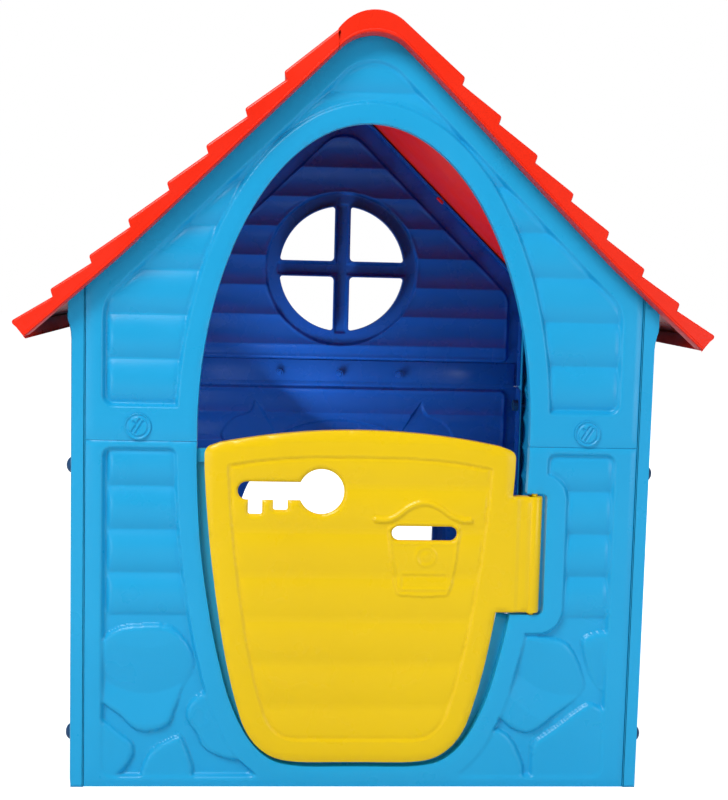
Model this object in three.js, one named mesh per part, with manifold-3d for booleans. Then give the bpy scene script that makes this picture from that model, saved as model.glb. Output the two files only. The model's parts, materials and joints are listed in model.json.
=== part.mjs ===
// A child's garden playhouse, moulded in thin plastic sheet and bolted together.
// Millimetres, +Z up, origin on the ground at the centre, front face towards -Y.
import * as THREE from "three";
import { mergeVertices } from "three/addons/utils/BufferGeometryUtils.js";
import Module from "manifold-3d";

const wasm = await Module();
wasm.setup();

// ---- driving dimensions ----
const HEIGHT = 1060; // ground to the top of the ridge cap
const ROOF_HALF_WIDTH = 470;
const ROOF_HALF_DEPTH = 450;
const WALL_HALF_WIDTH = 397;
const WALL_HALF_DEPTH = 425;
const SHEET = 2.5; // thickness of every moulded wall
const GAP = 0.3; // between two pieces that touch
const WELD = 0.5; // how far one part of a moulding runs into the next
const CLEAR = 5; // how far a cutting tool runs past the face it cuts
const FAR = 500; // beyond every part of the house, from its middle
const SPLIT_Z = 484; // the lower and upper panels of the front and back meet here

// Roof: straight slopes with eight overlapping courses of tiles on each side.
const SLOPE = 0.98; // fall per unit of width
const LEAN = Math.atan(SLOPE);
const SLOPED_SHEET = SHEET / Math.cos(LEAN); // a sheet's thickness measured upright on the slope
const COURSES = 8;
const FIRST_TIP_X = 119;
const COURSE_PITCH_X = (ROOF_HALF_WIDTH - FIRST_TIP_X) / (COURSES - 1);
const TIP_LINE_Z = 1093; // height of the line of tile tips, carried on to the centre
const STEP_BACK = new THREE.Vector2(-3.2, -9.8); // from a tile's tip to the course below
const SHELL_INSET = new THREE.Vector2(-3.5, -1.45); // from the tiles' outside to their inside
const EAVE_INSET = new THREE.Vector2(-4.3, -0.7);
const EAVE_DROP = new THREE.Vector2(-16.7, -21); // from the last tip to the fascia's lower corner
const EAVE_FLARE = 11.5; // how far the last tip lifts off the straight line
const FLARE_START_X = 330;
const FASCIA_LINE_Z = 1056; // lower edge of the fascia, carried on to the centre
const FASCIA_APEX_R = 64;
const CAP_R = 58; // rounded ridge cap, part of the right half
const CAP_CENTRE_Z = HEIGHT - CAP_R;
const CAP_START = THREE.MathUtils.degToRad(145); // the cap's free edge, over the left half
const CAP_END = THREE.MathUtils.degToRad(49.4); // where the cap runs into the right slope
const CAP_EDGE_X = -47.6;
const CAP_FOOT_Z = 900; // below everything under the cap
const TONGUE_R = CAP_R - SHEET - 1; // the left half's edge under the cap
const TONGUE_START = THREE.MathUtils.degToRad(98);
const TONGUE_END = THREE.MathUtils.degToRad(147.3);
const SHOULDER = new THREE.Vector2(50, 1033); // where the tongue meets the left half's first course
const FASCIA = 2.5;

// Gables follow the roof just under its tiles.
const GABLE_LINE_Z = 1070.4;
const GABLE_APEX_R = 90;
const GABLE_DEPTH = 30; // how far the sheet turns in under the roof

// Corners: the side walls wrap round the front and back by a narrow strip.
const CORNER_STRIP = 19;
const PANEL_HALF_WIDTH = WALL_HALF_WIDTH - CORNER_STRIP - GAP;
const RETURN_DEPTH = 40;
const FOOT_DEPTH = 22;
const SIDE_WALL_TOP = 680;
const LEDGE = { out: 7, low: 630, swell: 658, high: 670, top: 677, end: 3 }; // moulding under the eaves

// Doorway: an arch above, tapering sides and rounded lower corners.
const ARCH_HALF_WIDTH = 228;
const ARCH_SPRING_Z = 500;
const ARCH_TOP_Z = 916.5;
const FRAME_DEPTH = 16.5; // how far the sheet turns in round the doorway
const DOORWAY_SIDE = [
  [228, 500], [227.5, 440], [221.5, 340], [208, 245], [196, 186],
  [176, 116], [147, 62], [119, 38], [85, 29.8], [0, 29],
];
const STOP = { lip: 16, top: 474, hinge: 235 };

// Door and its hinge: one moulding with a barrel and two pins, turning in sockets in the frame.
const HINGE_X = 238;
const HINGE_Y = -419;
const BARREL_R = 11;
const PIN_R = 4;
const PIN_CLEARANCE = 0.4;
const SOCKET_R = 6;
const PIN_LENGTH = 9;
const NOTCH = { left: 150, right: 255.4, low: 248, high: 419, corner: 8 };
const TAB = { left: 180, low: 252, high: 415 };
const DOOR_FRONT_Y = -430;
const DOOR_DEPTH = 15;
const DOOR_CENTRE_X = -4;
const DOOR_TOP_Z = 503;
const DOOR_TOP_R = 961;
const DOOR_SIDE = [
  [213, 474], [212, 438], [204.5, 346], [190, 238], [178, 172],
  [165, 120], [153.5, 86], [138, 62], [117, 45.6], [92, 38.4], [0, 37],
];
const KEY = { x: -57.4, z: 418, bow: 31.2, half: 12.5, end: -159, toothTop: 410 };
const KEY_TEETH = [
  { left: -157.3, right: -138, low: 386 },
  { left: -123, right: -103.2, low: 392 },
];
const SLOT = { left: 50.5, right: 120.6, z: 362, half: 9.9 };

// Back wall: a round window with a cross, and an arched crawl-through below it.
const ROUND_WINDOW = { z: 722, r: 129, depth: 10 };
const BAR_HALF = 16.3;
const CRAWL = { half: 205, spring: 190, top: 380, sill: 30 };

// Side walls: one square window with a cross.
const SIDE_WINDOW = { half: 150, z: 420, high: 125, corner: 25, depth: 10 };

// Plastic bolts and nuts.
const BOLT_R = 5;
const HOLE_R = 5.3;
const HEAD_R = 11;
const HEAD_H = 9;
const NUT_R = 12;
const NUT_H = 10;
const SIDE_BOLT_Y = 400;
const SIDE_BOLT_ZS = { low: 70, high: 446 };
const SPLIT_BOLT_Z = 504;
const FRONT_SPLIT_XS = [-307, 307];
const BACK_SPLIT_XS = [-125, 0, 125];
const FRONT_HEAD_R = 16;
const FRONT_HEAD_H = 2;
const BACK_HEAD_H = 3;
const HEAD_CHAMFER = 0.6;
const HEAD_SLOT = { deep: 2, wide: 3, turn: Math.PI / 4 };
const SPLIT_NUT_R = 8;
const BOLT_PAST_NUT = 2;

// Tongues of the lower panels, which stand up behind the upper ones.
const TONGUE = { front: 38, back: 50, below: 12, margin: 8, doorway: 30 };
const ROOF_BOLT = { x: 203, y: 408, shank: 3.5, head: 9, headH: 4, boss: 8, reach: 9, bossTop: 12 };

// ---- colours ----
const plastic = (color) => new THREE.MeshStandardMaterial({ color, roughness: 0.35, metalness: 0 });
const LIGHT_BLUE = plastic(0x28a5dc);
const DEEP_BLUE = plastic(0x0a4696);
const RED = plastic(0xeb2305);
const YELLOW = plastic(0xe4c400);
const BOLT_BLUE = plastic(0x12406a);

// ---- solids ----

// A closed geometry as a solid that can be joined and cut. Points are rounded to a micrometre,
// so that faces meant to be flush are exactly flush.
function solid(geometry) {
  const loose = geometry.index ? geometry.toNonIndexed() : geometry;
  const rounded = Float32Array.from(
    loose.getAttribute("position").array, (v) => Math.round(v * 1000) / 1000,
  );
  const bare = new THREE.BufferGeometry();
  bare.setAttribute("position", new THREE.BufferAttribute(rounded, 3));
  const merged = mergeVertices(bare, 1e-4);
  const mesh = new wasm.Mesh({
    numProp: 3,
    vertProperties: merged.attributes.position.array,
    triVerts: new Uint32Array(merged.index.array),
  });
  return new wasm.Manifold(mesh);
}

const join = (...parts) => parts.reduce((a, b) => a.add(b));
const cut = (part, ...tools) => tools.reduce((a, b) => a.subtract(b), part);

// A solid's surface as a named mesh.
function node(name, part, material) {
  const made = part.getMesh();
  const geometry = new THREE.BufferGeometry();
  geometry.setAttribute("position", new THREE.BufferAttribute(made.vertProperties, 3));
  geometry.setIndex(new THREE.BufferAttribute(made.triVerts, 1));
  const mesh = new THREE.Mesh(geometry, material);
  mesh.name = name;
  return mesh;
}

function box(xs, ys, zs) {
  const size = [xs, ys, zs].map(([low, high]) => high - low);
  const centre = [xs, ys, zs].map(([low, high]) => (high + low) / 2);
  return solid(new THREE.BoxGeometry(...size).translate(...centre));
}

const ALONG_Y = new THREE.Matrix4().makeBasis(
  new THREE.Vector3(1, 0, 0), new THREE.Vector3(0, 0, 1), new THREE.Vector3(0, -1, 0),
);
const ALONG_X = new THREE.Matrix4().makeBasis(
  new THREE.Vector3(0, 1, 0), new THREE.Vector3(0, 0, 1), new THREE.Vector3(1, 0, 0),
);

const extruded = (points, depth) =>
  new THREE.ExtrudeGeometry(new THREE.Shape(points), { depth, bevelEnabled: false });

// An outline in X and Z, carried from one Y to another.
const prismY = (points, low, high) =>
  solid(extruded(points, high - low).applyMatrix4(ALONG_Y).translate(0, high, 0));

// An outline in Y and Z, carried from one X to another.
const prismX = (points, low, high) =>
  solid(extruded(points, high - low).applyMatrix4(ALONG_X).translate(low, 0, 0));

// Round bars along each axis.
const barZ = (r, x, y, low, high, sides = 20) =>
  solid(new THREE.CylinderGeometry(r, r, high - low, sides).rotateX(Math.PI / 2)
    .translate(x, y, (low + high) / 2));
const barY = (r, x, z, low, high, sides = 20) =>
  solid(new THREE.CylinderGeometry(r, r, high - low, sides).translate(x, (low + high) / 2, z));
const barX = (r, y, z, low, high, sides = 20) =>
  solid(new THREE.CylinderGeometry(r, r, high - low, sides).rotateZ(Math.PI / 2)
    .translate((low + high) / 2, y, z));

// ---- outlines ----

const mirrored = (points) => points.map((p) => new THREE.Vector2(-p.x, p.y)).reverse();

function arcPoints(x, z, rx, rz, from, to, steps) {
  return Array.from({ length: steps + 1 }, (_, i) => {
    const a = from + ((to - from) * i) / steps;
    return new THREE.Vector2(x + rx * Math.cos(a), z + rz * Math.sin(a));
  });
}

// The right-hand side of an opening from its spring line down to the sill's middle, grown outwards.
function sidePoints(controls, grow, steps) {
  const curve = new THREE.CatmullRomCurve3(
    controls.map(([x, z]) => new THREE.Vector3(x, z, 0)), false, "centripetal",
  );
  return Array.from({ length: steps + 1 }, (_, i) => {
    const p = curve.getPoint(i / steps);
    const t = curve.getTangent(i / steps);
    return new THREE.Vector2(p.x - t.y * grow, p.y + t.x * grow);
  });
}

function doorwayOutline(grow) {
  const right = sidePoints(DOORWAY_SIDE, grow, 22);
  right[right.length - 1].x = 0;
  const left = mirrored(right).slice(1, -1);
  const rise = ARCH_TOP_Z - ARCH_SPRING_Z;
  const arch = arcPoints(0, ARCH_SPRING_Z, ARCH_HALF_WIDTH + grow, rise + grow, Math.PI, 0, 30);
  return [...right, ...left, ...arch.slice(0, -1)];
}

function roundedRect(left, right, low, high, r, steps = 5) {
  const quarter = Math.PI / 2;
  return [
    ...arcPoints(right - r, low + r, r, r, -quarter, 0, steps),
    ...arcPoints(right - r, high - r, r, r, 0, quarter, steps),
    ...arcPoints(left + r, high - r, r, r, quarter, 2 * quarter, steps),
    ...arcPoints(left + r, low + r, r, r, 2 * quarter, 3 * quarter, steps),
  ];
}

// The doorway with the hinge notch at its right, grown outwards.
const doorway = (grow, low, high) =>
  join(
    prismY(doorwayOutline(grow), low, high),
    prismY(
      roundedRect(
        NOTCH.left, NOTCH.right + grow, NOTCH.low - grow, NOTCH.high + grow, NOTCH.corner + grow / 2,
      ),
      low, high,
    ),
  );

function doorOutline(inset) {
  const side = sidePoints(DOOR_SIDE, -inset, 22);
  side[side.length - 1].x = 0;
  const half = side[0].x;
  const centreZ = DOOR_TOP_Z - DOOR_TOP_R;
  const reach = Math.asin(half / DOOR_TOP_R);
  const top = arcPoints(0, centreZ, DOOR_TOP_R - inset, DOOR_TOP_R - inset,
    Math.PI / 2 + reach, Math.PI / 2 - reach, 16);
  const whole = [...side, ...mirrored(side).slice(1), ...top.slice(1, -1)];
  return whole.map((p) => new THREE.Vector2(p.x + DOOR_CENTRE_X, p.y));
}

// Wall outline under the roof, between two widths, from a base up to the slopes.
function gableOutline(half, base, drop) {
  const line = GABLE_LINE_Z - drop;
  const centreZ = line - GABLE_APEX_R / Math.cos(LEAN);
  const apex = arcPoints(0, centreZ, GABLE_APEX_R, GABLE_APEX_R,
    Math.PI / 2 - LEAN, Math.PI / 2 + LEAN, 12);
  return [
    new THREE.Vector2(-half, base), new THREE.Vector2(half, base),
    new THREE.Vector2(half, line - SLOPE * half), ...apex,
    new THREE.Vector2(-half, line - SLOPE * half),
  ];
}

// ---- roof ----

const flare = (x) => EAVE_FLARE * Math.max(0, (x - FLARE_START_X) / (ROOF_HALF_WIDTH - FLARE_START_X)) ** 2;

// Tile tips and the notches under them, from the ridge down to the eave, on the right-hand slope.
function tilePath() {
  const path = [];
  for (let i = 0; i < COURSES; i += 1) {
    const x = FIRST_TIP_X + COURSE_PITCH_X * i;
    const tip = new THREE.Vector2(x, TIP_LINE_Z - SLOPE * x + flare(x));
    path.push(tip);
    if (i < COURSES - 1) path.push(tip.clone().add(STEP_BACK));
  }
  return path;
}

// The fascia's lower edge, from the eave up to a given x near the ridge.
function fasciaPath(eave, endX) {
  const centreZ = FASCIA_LINE_Z - FASCIA_APEX_R / Math.cos(LEAN);
  const stop = Math.acos(endX / FASCIA_APEX_R);
  const knee = new THREE.Vector2(FLARE_START_X, FASCIA_LINE_Z - SLOPE * FLARE_START_X);
  return [
    eave, knee,
    ...arcPoints(0, centreZ, FASCIA_APEX_R, FASCIA_APEX_R, Math.PI / 2 - LEAN, stop, 10),
  ];
}

// The fascia's lower edge turned in towards the gable, at the front and the back.
function soffit(lower, startX) {
  const upper = lower.map((p) => new THREE.Vector2(p.x, p.y + SLOPED_SHEET)).reverse();
  const strip = prismY([...lower, ...upper], -ROOF_HALF_DEPTH, ROOF_HALF_DEPTH);
  const middle = WALL_HALF_DEPTH + GAP;
  const kept = box([startX, FAR], [-FAR, FAR], [0, HEIGHT]);
  return cut(strip.intersect(kept), box([-FAR, FAR], [-middle, middle], [0, HEIGHT]));
}

// One roof half as a tiled shell with a fascia at the front, the back and the eave.
function roofHalf(ridge, ridgeInside, endX, soffitX) {
  const tiles = tilePath();
  const tip = tiles[tiles.length - 1];
  const eave = tip.clone().add(EAVE_DROP);
  const lower = fasciaPath(eave, endX);
  const outside = [...ridge, ...tiles, ...lower];
  const inner = tiles.slice(0, -1).map((p) => p.clone().add(SHELL_INSET));
  const innerTip = tip.clone().add(EAVE_INSET);
  const below = innerTip.clone().addScaledVector(EAVE_DROP, 2);
  const inside = [
    ...ridgeInside, ...inner, innerTip, below, new THREE.Vector2(ridgeInside[0].x, 0),
  ];
  const depth = ROOF_HALF_DEPTH;
  const shell = cut(
    prismY(outside.reverse(), -depth, depth),
    prismY(inside.reverse(), -depth + FASCIA, depth - FASCIA),
  );
  return shell.add(soffit(lower, soffitX));
}

// A boss under the tiles for each roof bolt, standing square to the slope.
function roofBoss(part, y) {
  const place = (g) => g.rotateX(Math.PI / 2).rotateY(LEAN)
    .translate(ROOF_BOLT.x, y, GABLE_LINE_Z - SLOPE * ROOF_BOLT.x);
  const column = (r, low, high) =>
    solid(place(new THREE.CylinderGeometry(r, r, high - low, 16).translate(0, (low + high) / 2, 0)));
  return cut(
    part.add(column(ROOF_BOLT.boss, 2 * GAP, ROOF_BOLT.bossTop)),
    column(ROOF_BOLT.shank + GAP, -GAP, ROOF_BOLT.reach + GAP),
  );
}

function roofRight() {
  const cap = arcPoints(0, CAP_CENTRE_Z, CAP_R, CAP_R, CAP_START, CAP_END, 20);
  const inside = arcPoints(0, CAP_CENTRE_Z, CAP_R - SHEET, CAP_R - SHEET, CAP_START, CAP_END, 20);
  const whole = roofHalf(cap, inside, CAP_EDGE_X + 1, CAP_EDGE_X);
  const edge = inside[0];
  const deep = ROOF_HALF_DEPTH - FASCIA;
  const open = box([CAP_EDGE_X - CLEAR, edge.x + GAP], [-deep, deep], [CAP_FOOT_Z, edge.y - GAP]);
  return [-ROOF_BOLT.y, ROOF_BOLT.y].reduce(roofBoss, cut(whole, open));
}

// The left half is built as if on the right and mirrored when it is placed.
function roofLeft() {
  const start = Math.PI - TONGUE_START;
  const end = Math.PI - TONGUE_END;
  const tongueTop = arcPoints(0, CAP_CENTRE_Z, TONGUE_R, TONGUE_R, start, end, 12);
  const inside = arcPoints(0, CAP_CENTRE_Z, TONGUE_R - SHEET, TONGUE_R - SHEET, start, end, 12);
  const clear = -CAP_EDGE_X + GAP;
  const whole = roofHalf([...tongueTop, SHOULDER], inside, tongueTop[0].x, clear);
  const deep = ROOF_HALF_DEPTH - FASCIA - GAP;
  const part = cut(
    whole,
    box([0, clear], [-FAR, -deep], [CAP_FOOT_Z, HEIGHT]),
    box([0, clear], [deep, FAR], [CAP_FOOT_Z, HEIGHT]),
  );
  return [-ROOF_BOLT.y, ROOF_BOLT.y].reduce(roofBoss, part);
}

// ---- front and back walls, both built facing -Y ----

const FACE_Y = -WALL_HALF_DEPTH;
const INNER_Y = FACE_Y + SHEET;

// Holes for the corner bolts, right across the house.
const cornerHoles = () =>
  Object.values(SIDE_BOLT_ZS).map((z) => barX(HOLE_R, -SIDE_BOLT_Y, z, -FAR, FAR));

// Returns along both upright edges.
function sideReturns(low, high) {
  const inside = PANEL_HALF_WIDTH - SHEET;
  const depth = [FACE_Y, FACE_Y + RETURN_DEPTH];
  return [
    box([inside, PANEL_HALF_WIDTH], depth, [low, high]),
    box([-PANEL_HALF_WIDTH, -inside], depth, [low, high]),
  ];
}

// The tongue that stands up behind the upper panel, between two widths.
function tongue(left, right, high) {
  const back = INNER_Y + GAP;
  return [
    box([left, right], [back, back + SHEET], [SPLIT_Z - TONGUE.below, SPLIT_Z + high]),
    box([left, right], [INNER_Y - WELD, back + SHEET], [SPLIT_Z - TONGUE.below, SPLIT_Z - GAP]),
  ];
}

const splitHoles = (xs) =>
  xs.map((x) => barY(HOLE_R, x, SPLIT_BOLT_Z, FACE_Y - CLEAR, FACE_Y + RETURN_DEPTH));

function lowerPanelBlank() {
  const half = PANEL_HALF_WIDTH;
  return join(
    box([-half, half], [FACE_Y, INNER_Y], [0, SPLIT_Z - GAP]),
    box([-half, half], [FACE_Y, FACE_Y + FOOT_DEPTH], [0, SHEET]),
    ...sideReturns(0, SPLIT_Z - GAP),
  );
}

function upperPanelBlank() {
  const half = PANEL_HALF_WIDTH;
  const base = SPLIT_Z + GAP;
  const face = cut(
    prismY(gableOutline(half, base, 0), FACE_Y, FACE_Y + GABLE_DEPTH),
    prismY(gableOutline(half + CLEAR, base - CLEAR, SLOPED_SHEET), INNER_Y, FACE_Y + RETURN_DEPTH),
  );
  const top = GABLE_LINE_Z - SLOPE * half - SHEET;
  return join(face, ...sideReturns(base, top));
}

// Bolt holes through the gable's sloping edge, square to the slope.
function gableHoles() {
  const r = ROOF_BOLT.shank + GAP;
  return [1, -1].map((side) =>
    solid(new THREE.CylinderGeometry(r, r, 2 * ROOF_BOLT.bossTop, 16)
      .rotateX(Math.PI / 2).rotateY(side * LEAN)
      .translate(side * ROOF_BOLT.x, -ROOF_BOLT.y, GABLE_LINE_Z - SLOPE * ROOF_BOLT.x)));
}

// Everything inside one band of heights.
const band = (low, high) => box([-FAR, FAR], [-FAR, FAR], [low, high]);

// The sheet turned in round the doorway, with the opening itself cut away.
function doorReturn(wall, low, high) {
  const edge = doorway(SHEET, FACE_Y, FACE_Y + FRAME_DEPTH).intersect(band(low, high));
  const opening = doorway(0, FACE_Y - CLEAR, FACE_Y + RETURN_DEPTH);
  return cut(wall.add(edge), opening.intersect(band(SHEET, high + CLEAR)));
}

// The lip that the closed door rests against, down the latch side and round the bottom.
function doorStop() {
  const back = FACE_Y + FRAME_DEPTH;
  return cut(
    doorway(SHEET, back - SHEET, back), doorway(-STOP.lip, back - SHEET - CLEAR, back + CLEAR),
    box([0, FAR], [-FAR, 0], [STOP.hinge, HEIGHT]), band(STOP.top, HEIGHT),
  );
}

function frontLower() {
  const half = PANEL_HALF_WIDTH - TONGUE.margin;
  const inner = ARCH_HALF_WIDTH + TONGUE.doorway;
  const pinEnd = PIN_LENGTH + GAP;
  const sockets = [
    barZ(SOCKET_R, HINGE_X, HINGE_Y, NOTCH.high, NOTCH.high + pinEnd + SHEET),
    barZ(SOCKET_R, HINGE_X, HINGE_Y, NOTCH.low - pinEnd - SHEET, NOTCH.low),
  ];
  const bore = barZ(PIN_R + PIN_CLEARANCE, HINGE_X, HINGE_Y, NOTCH.low - pinEnd, NOTCH.high + pinEnd);
  const wall = join(
    lowerPanelBlank(),
    ...tongue(-half, -inner, TONGUE.front), ...tongue(inner, half, TONGUE.front),
  );
  return cut(
    join(doorReturn(wall, SHEET, SPLIT_Z - GAP), doorStop(), ...sockets),
    bore, ...cornerHoles(), ...splitHoles(FRONT_SPLIT_XS),
  );
}

function frontUpper() {
  const wall = doorReturn(upperPanelBlank(), SPLIT_Z + GAP, HEIGHT);
  return cut(wall, ...splitHoles(FRONT_SPLIT_XS), ...gableHoles());
}

function crawlOutline(grow) {
  const half = CRAWL.half + grow;
  const rise = CRAWL.top - CRAWL.spring + grow;
  return [
    new THREE.Vector2(-half, CRAWL.sill - grow), new THREE.Vector2(half, CRAWL.sill - grow),
    ...arcPoints(0, CRAWL.spring, half, rise, 0, Math.PI, 28),
  ];
}

function backLower() {
  const rim = prismY(crawlOutline(SHEET), FACE_Y, FACE_Y + FRAME_DEPTH);
  const hole = prismY(crawlOutline(0), FACE_Y - CLEAR, FACE_Y + FRAME_DEPTH + CLEAR);
  const half = PANEL_HALF_WIDTH - TONGUE.margin;
  return cut(
    join(lowerPanelBlank(), rim, ...tongue(-half, half, TONGUE.back)),
    hole, ...cornerHoles(), ...splitHoles(BACK_SPLIT_XS),
  );
}

function backUpper() {
  const { z, r, depth } = ROUND_WINDOW;
  const reach = r + SHEET / 2;
  const bars = [
    box([-BAR_HALF, BAR_HALF], [FACE_Y, FACE_Y + depth], [z - reach, z + reach]),
    box([-reach, reach], [FACE_Y, FACE_Y + depth], [z - BAR_HALF, z + BAR_HALF]),
  ];
  const wall = cut(
    join(upperPanelBlank(), barY(r + SHEET, 0, z, FACE_Y, FACE_Y + depth, 40)),
    barY(r, 0, z, FACE_Y - CLEAR, FACE_Y + depth + CLEAR, 40),
  );
  return cut(join(wall, ...bars), ...splitHoles(BACK_SPLIT_XS), ...gableHoles());
}

// ---- side walls, built for the right ----

const OUTER_X = WALL_HALF_WIDTH;

function cornerChannel(front) {
  const inner = OUTER_X - CORNER_STRIP;
  const line = (x) => GABLE_LINE_Z - SLOPE * x;
  const strip = [
    new THREE.Vector2(inner, 0), new THREE.Vector2(OUTER_X, 0),
    new THREE.Vector2(OUTER_X, line(OUTER_X)), new THREE.Vector2(inner, line(inner)),
  ];
  const face = [front, front - Math.sign(front) * SHEET].sort((a, b) => a - b);
  const fold = [front, front - Math.sign(front) * RETURN_DEPTH].sort((a, b) => a - b);
  return [
    prismY(strip, ...face),
    box([inner, inner + SHEET], fold, [0, line(inner + SHEET)]),
  ];
}

function sideWall() {
  const deep = WALL_HALF_DEPTH;
  const inside = OUTER_X - SHEET;
  const w = SIDE_WINDOW;
  const windowAt = (grow) =>
    roundedRect(-w.half - grow, w.half + grow, w.z - w.high - grow, w.z + w.high + grow, w.corner + grow);
  const ledge = [
    new THREE.Vector2(inside, LEDGE.low), new THREE.Vector2(OUTER_X, LEDGE.low),
    new THREE.Vector2(OUTER_X + LEDGE.out, LEDGE.swell), new THREE.Vector2(OUTER_X + LEDGE.out, LEDGE.high),
    new THREE.Vector2(OUTER_X, LEDGE.top), new THREE.Vector2(inside, LEDGE.top),
  ];
  const foot = deep - 2 * FOOT_DEPTH;
  const sheet = join(
    box([inside, OUTER_X], [-deep, deep], [0, SIDE_WALL_TOP]),
    box([OUTER_X - FOOT_DEPTH, OUTER_X], [-foot, foot], [0, SHEET]),
    prismY(ledge, -deep + LEDGE.end, deep - LEDGE.end),
    prismX(windowAt(SHEET), OUTER_X - w.depth, OUTER_X),
    ...cornerChannel(-deep), ...cornerChannel(deep),
  );
  const reach = SHEET / 2;
  const thick = [OUTER_X - w.depth, OUTER_X];
  const cross = join(
    box(thick, [-w.half - reach, w.half + reach], [w.z - BAR_HALF, w.z + BAR_HALF]),
    box(thick, [-BAR_HALF, BAR_HALF], [w.z - w.high - reach, w.z + w.high + reach]),
  );
  const holes = [-SIDE_BOLT_Y, SIDE_BOLT_Y].flatMap((y) =>
    Object.values(SIDE_BOLT_ZS).map((z) => barX(HOLE_R, y, z, OUTER_X - RETURN_DEPTH, FAR)));
  const opening = prismX(windowAt(0), thick[0] - CLEAR, OUTER_X + CLEAR);
  return cut(join(cut(sheet, opening), cross), ...holes);
}

// ---- door ----

function keyHole() {
  const low = DOOR_FRONT_Y - CLEAR;
  const high = DOOR_FRONT_Y + DOOR_DEPTH + CLEAR;
  const shank = box([KEY.end, KEY.x], [low, high], [KEY.z - KEY.half, KEY.z + KEY.half]);
  const teeth = KEY_TEETH.map((t) => box([t.left, t.right], [low, high], [t.low, KEY.toothTop]));
  return join(
    barY(KEY.bow, KEY.x, KEY.z, low, high, 32), shank,
    barY(KEY.half, KEY.end, KEY.z, low, high, 24), ...teeth,
  );
}

function mailSlot() {
  const low = DOOR_FRONT_Y - CLEAR;
  const high = DOOR_FRONT_Y + DOOR_DEPTH + CLEAR;
  return join(
    box([SLOT.left, SLOT.right], [low, high], [SLOT.z - SLOT.half, SLOT.z + SLOT.half]),
    barY(SLOT.half, SLOT.left, SLOT.z, low, high, 20),
    barY(SLOT.half, SLOT.right, SLOT.z, low, high, 20),
  );
}

function door() {
  const back = DOOR_FRONT_Y + DOOR_DEPTH;
  const tray = cut(
    prismY(doorOutline(0), DOOR_FRONT_Y, back),
    prismY(doorOutline(SHEET), DOOR_FRONT_Y + SHEET, back + CLEAR),
  );
  const tab = cut(
    box([TAB.left, HINGE_X], [DOOR_FRONT_Y, back], [TAB.low, TAB.high]),
    box([TAB.left - CLEAR, HINGE_X - BARREL_R / 2], [DOOR_FRONT_Y + SHEET, back + CLEAR],
      [TAB.low + SHEET, TAB.high - SHEET]),
  );
  const barrel = barZ(BARREL_R, HINGE_X, HINGE_Y, TAB.low, TAB.high, 32);
  const pins = barZ(PIN_R, HINGE_X, HINGE_Y, NOTCH.low - PIN_LENGTH, NOTCH.high + PIN_LENGTH, 24);
  return cut(join(tray, tab, barrel, pins), keyHole(), mailSlot());
}

// ---- bolts and nuts, built along +X with the head's underside at the origin, shank towards -X ----

function domedBolt(headR, headH, shankR, length) {
  const dome = arcPoints(0, headH / 2, headR, headH / 2, 0, Math.PI / 2, 4);
  dome[dome.length - 1].x = 0;
  const profile = [
    new THREE.Vector2(0, -length), new THREE.Vector2(shankR, -length),
    new THREE.Vector2(shankR, 0), new THREE.Vector2(headR, 0), ...dome,
  ];
  return solid(new THREE.LatheGeometry(profile, 20).rotateZ(-Math.PI / 2));
}

function slottedBolt(headR, headH, shankR, length) {
  const profile = [
    new THREE.Vector2(0, -length), new THREE.Vector2(shankR, -length),
    new THREE.Vector2(shankR, 0), new THREE.Vector2(headR, 0),
    new THREE.Vector2(headR, headH - HEAD_CHAMFER), new THREE.Vector2(headR - HEAD_CHAMFER, headH),
    new THREE.Vector2(0, headH),
  ];
  const turned = solid(new THREE.LatheGeometry(profile, 24).rotateZ(-Math.PI / 2));
  const slot = new THREE.BoxGeometry(HEAD_SLOT.deep, 2 * headR + CLEAR, HEAD_SLOT.wide)
    .rotateX(HEAD_SLOT.turn).translate(headH, 0, 0);
  return cut(turned, solid(slot));
}

// A nut that fills the shank's last stretch, open right through.
function nut(outerR, innerR, height) {
  const profile = [
    new THREE.Vector2(innerR, 0), new THREE.Vector2(outerR, 0),
    new THREE.Vector2(outerR, height), new THREE.Vector2(innerR, height),
    new THREE.Vector2(innerR, 0),
  ];
  return solid(new THREE.LatheGeometry(profile, 12).rotateZ(-Math.PI / 2));
}

// ---- assembly ----

const house = new THREE.Group();

function place(mesh, x, y, z, turn = 0) {
  mesh.position.set(x, y, z);
  mesh.rotation.z = turn;
  house.add(mesh);
}

place(node("front_lower_panel", frontLower(), LIGHT_BLUE), 0, 0, 0);
place(node("front_upper_panel", frontUpper(), LIGHT_BLUE), 0, 0, 0);
place(node("back_lower_panel", backLower(), DEEP_BLUE), 0, 0, 0, Math.PI);
place(node("back_upper_panel", backUpper(), DEEP_BLUE), 0, 0, 0, Math.PI);
place(node("right_wall", sideWall(), LIGHT_BLUE), 0, 0, 0);
place(node("left_wall", sideWall(), LIGHT_BLUE), 0, 0, 0, Math.PI);
place(node("roof_right", roofRight(), RED), 0, 0, 0);
const leftRoof = node("roof_left", roofLeft(), RED);
leftRoof.scale.x = -1;
place(leftRoof, 0, 0, 0);
place(node("door", door(), YELLOW), 0, 0, 0);

const SIDES = { left: Math.PI, right: 0 };
const ENDS = { front: -1, back: 1 };
const cornerNutX = PANEL_HALF_WIDTH - SHEET - GAP - NUT_H;
const cornerLength = OUTER_X - cornerNutX + BOLT_PAST_NUT;

for (const [sideName, turn] of Object.entries(SIDES)) {
  const side = Math.cos(turn);
  for (const [endName, end] of Object.entries(ENDS)) {
    for (const [level, z] of Object.entries(SIDE_BOLT_ZS)) {
      const label = `${sideName}_${endName}_${level}`;
      const bolt = node(`bolt_${label}`, domedBolt(HEAD_R, HEAD_H, BOLT_R, cornerLength), BOLT_BLUE);
      place(bolt, side * (OUTER_X + GAP), end * SIDE_BOLT_Y, z, turn);
      const ring = node(`nut_${label}`, nut(NUT_R, BOLT_R + GAP, NUT_H), BOLT_BLUE);
      place(ring, side * cornerNutX, end * SIDE_BOLT_Y, z, turn);
    }
  }
}

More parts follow.
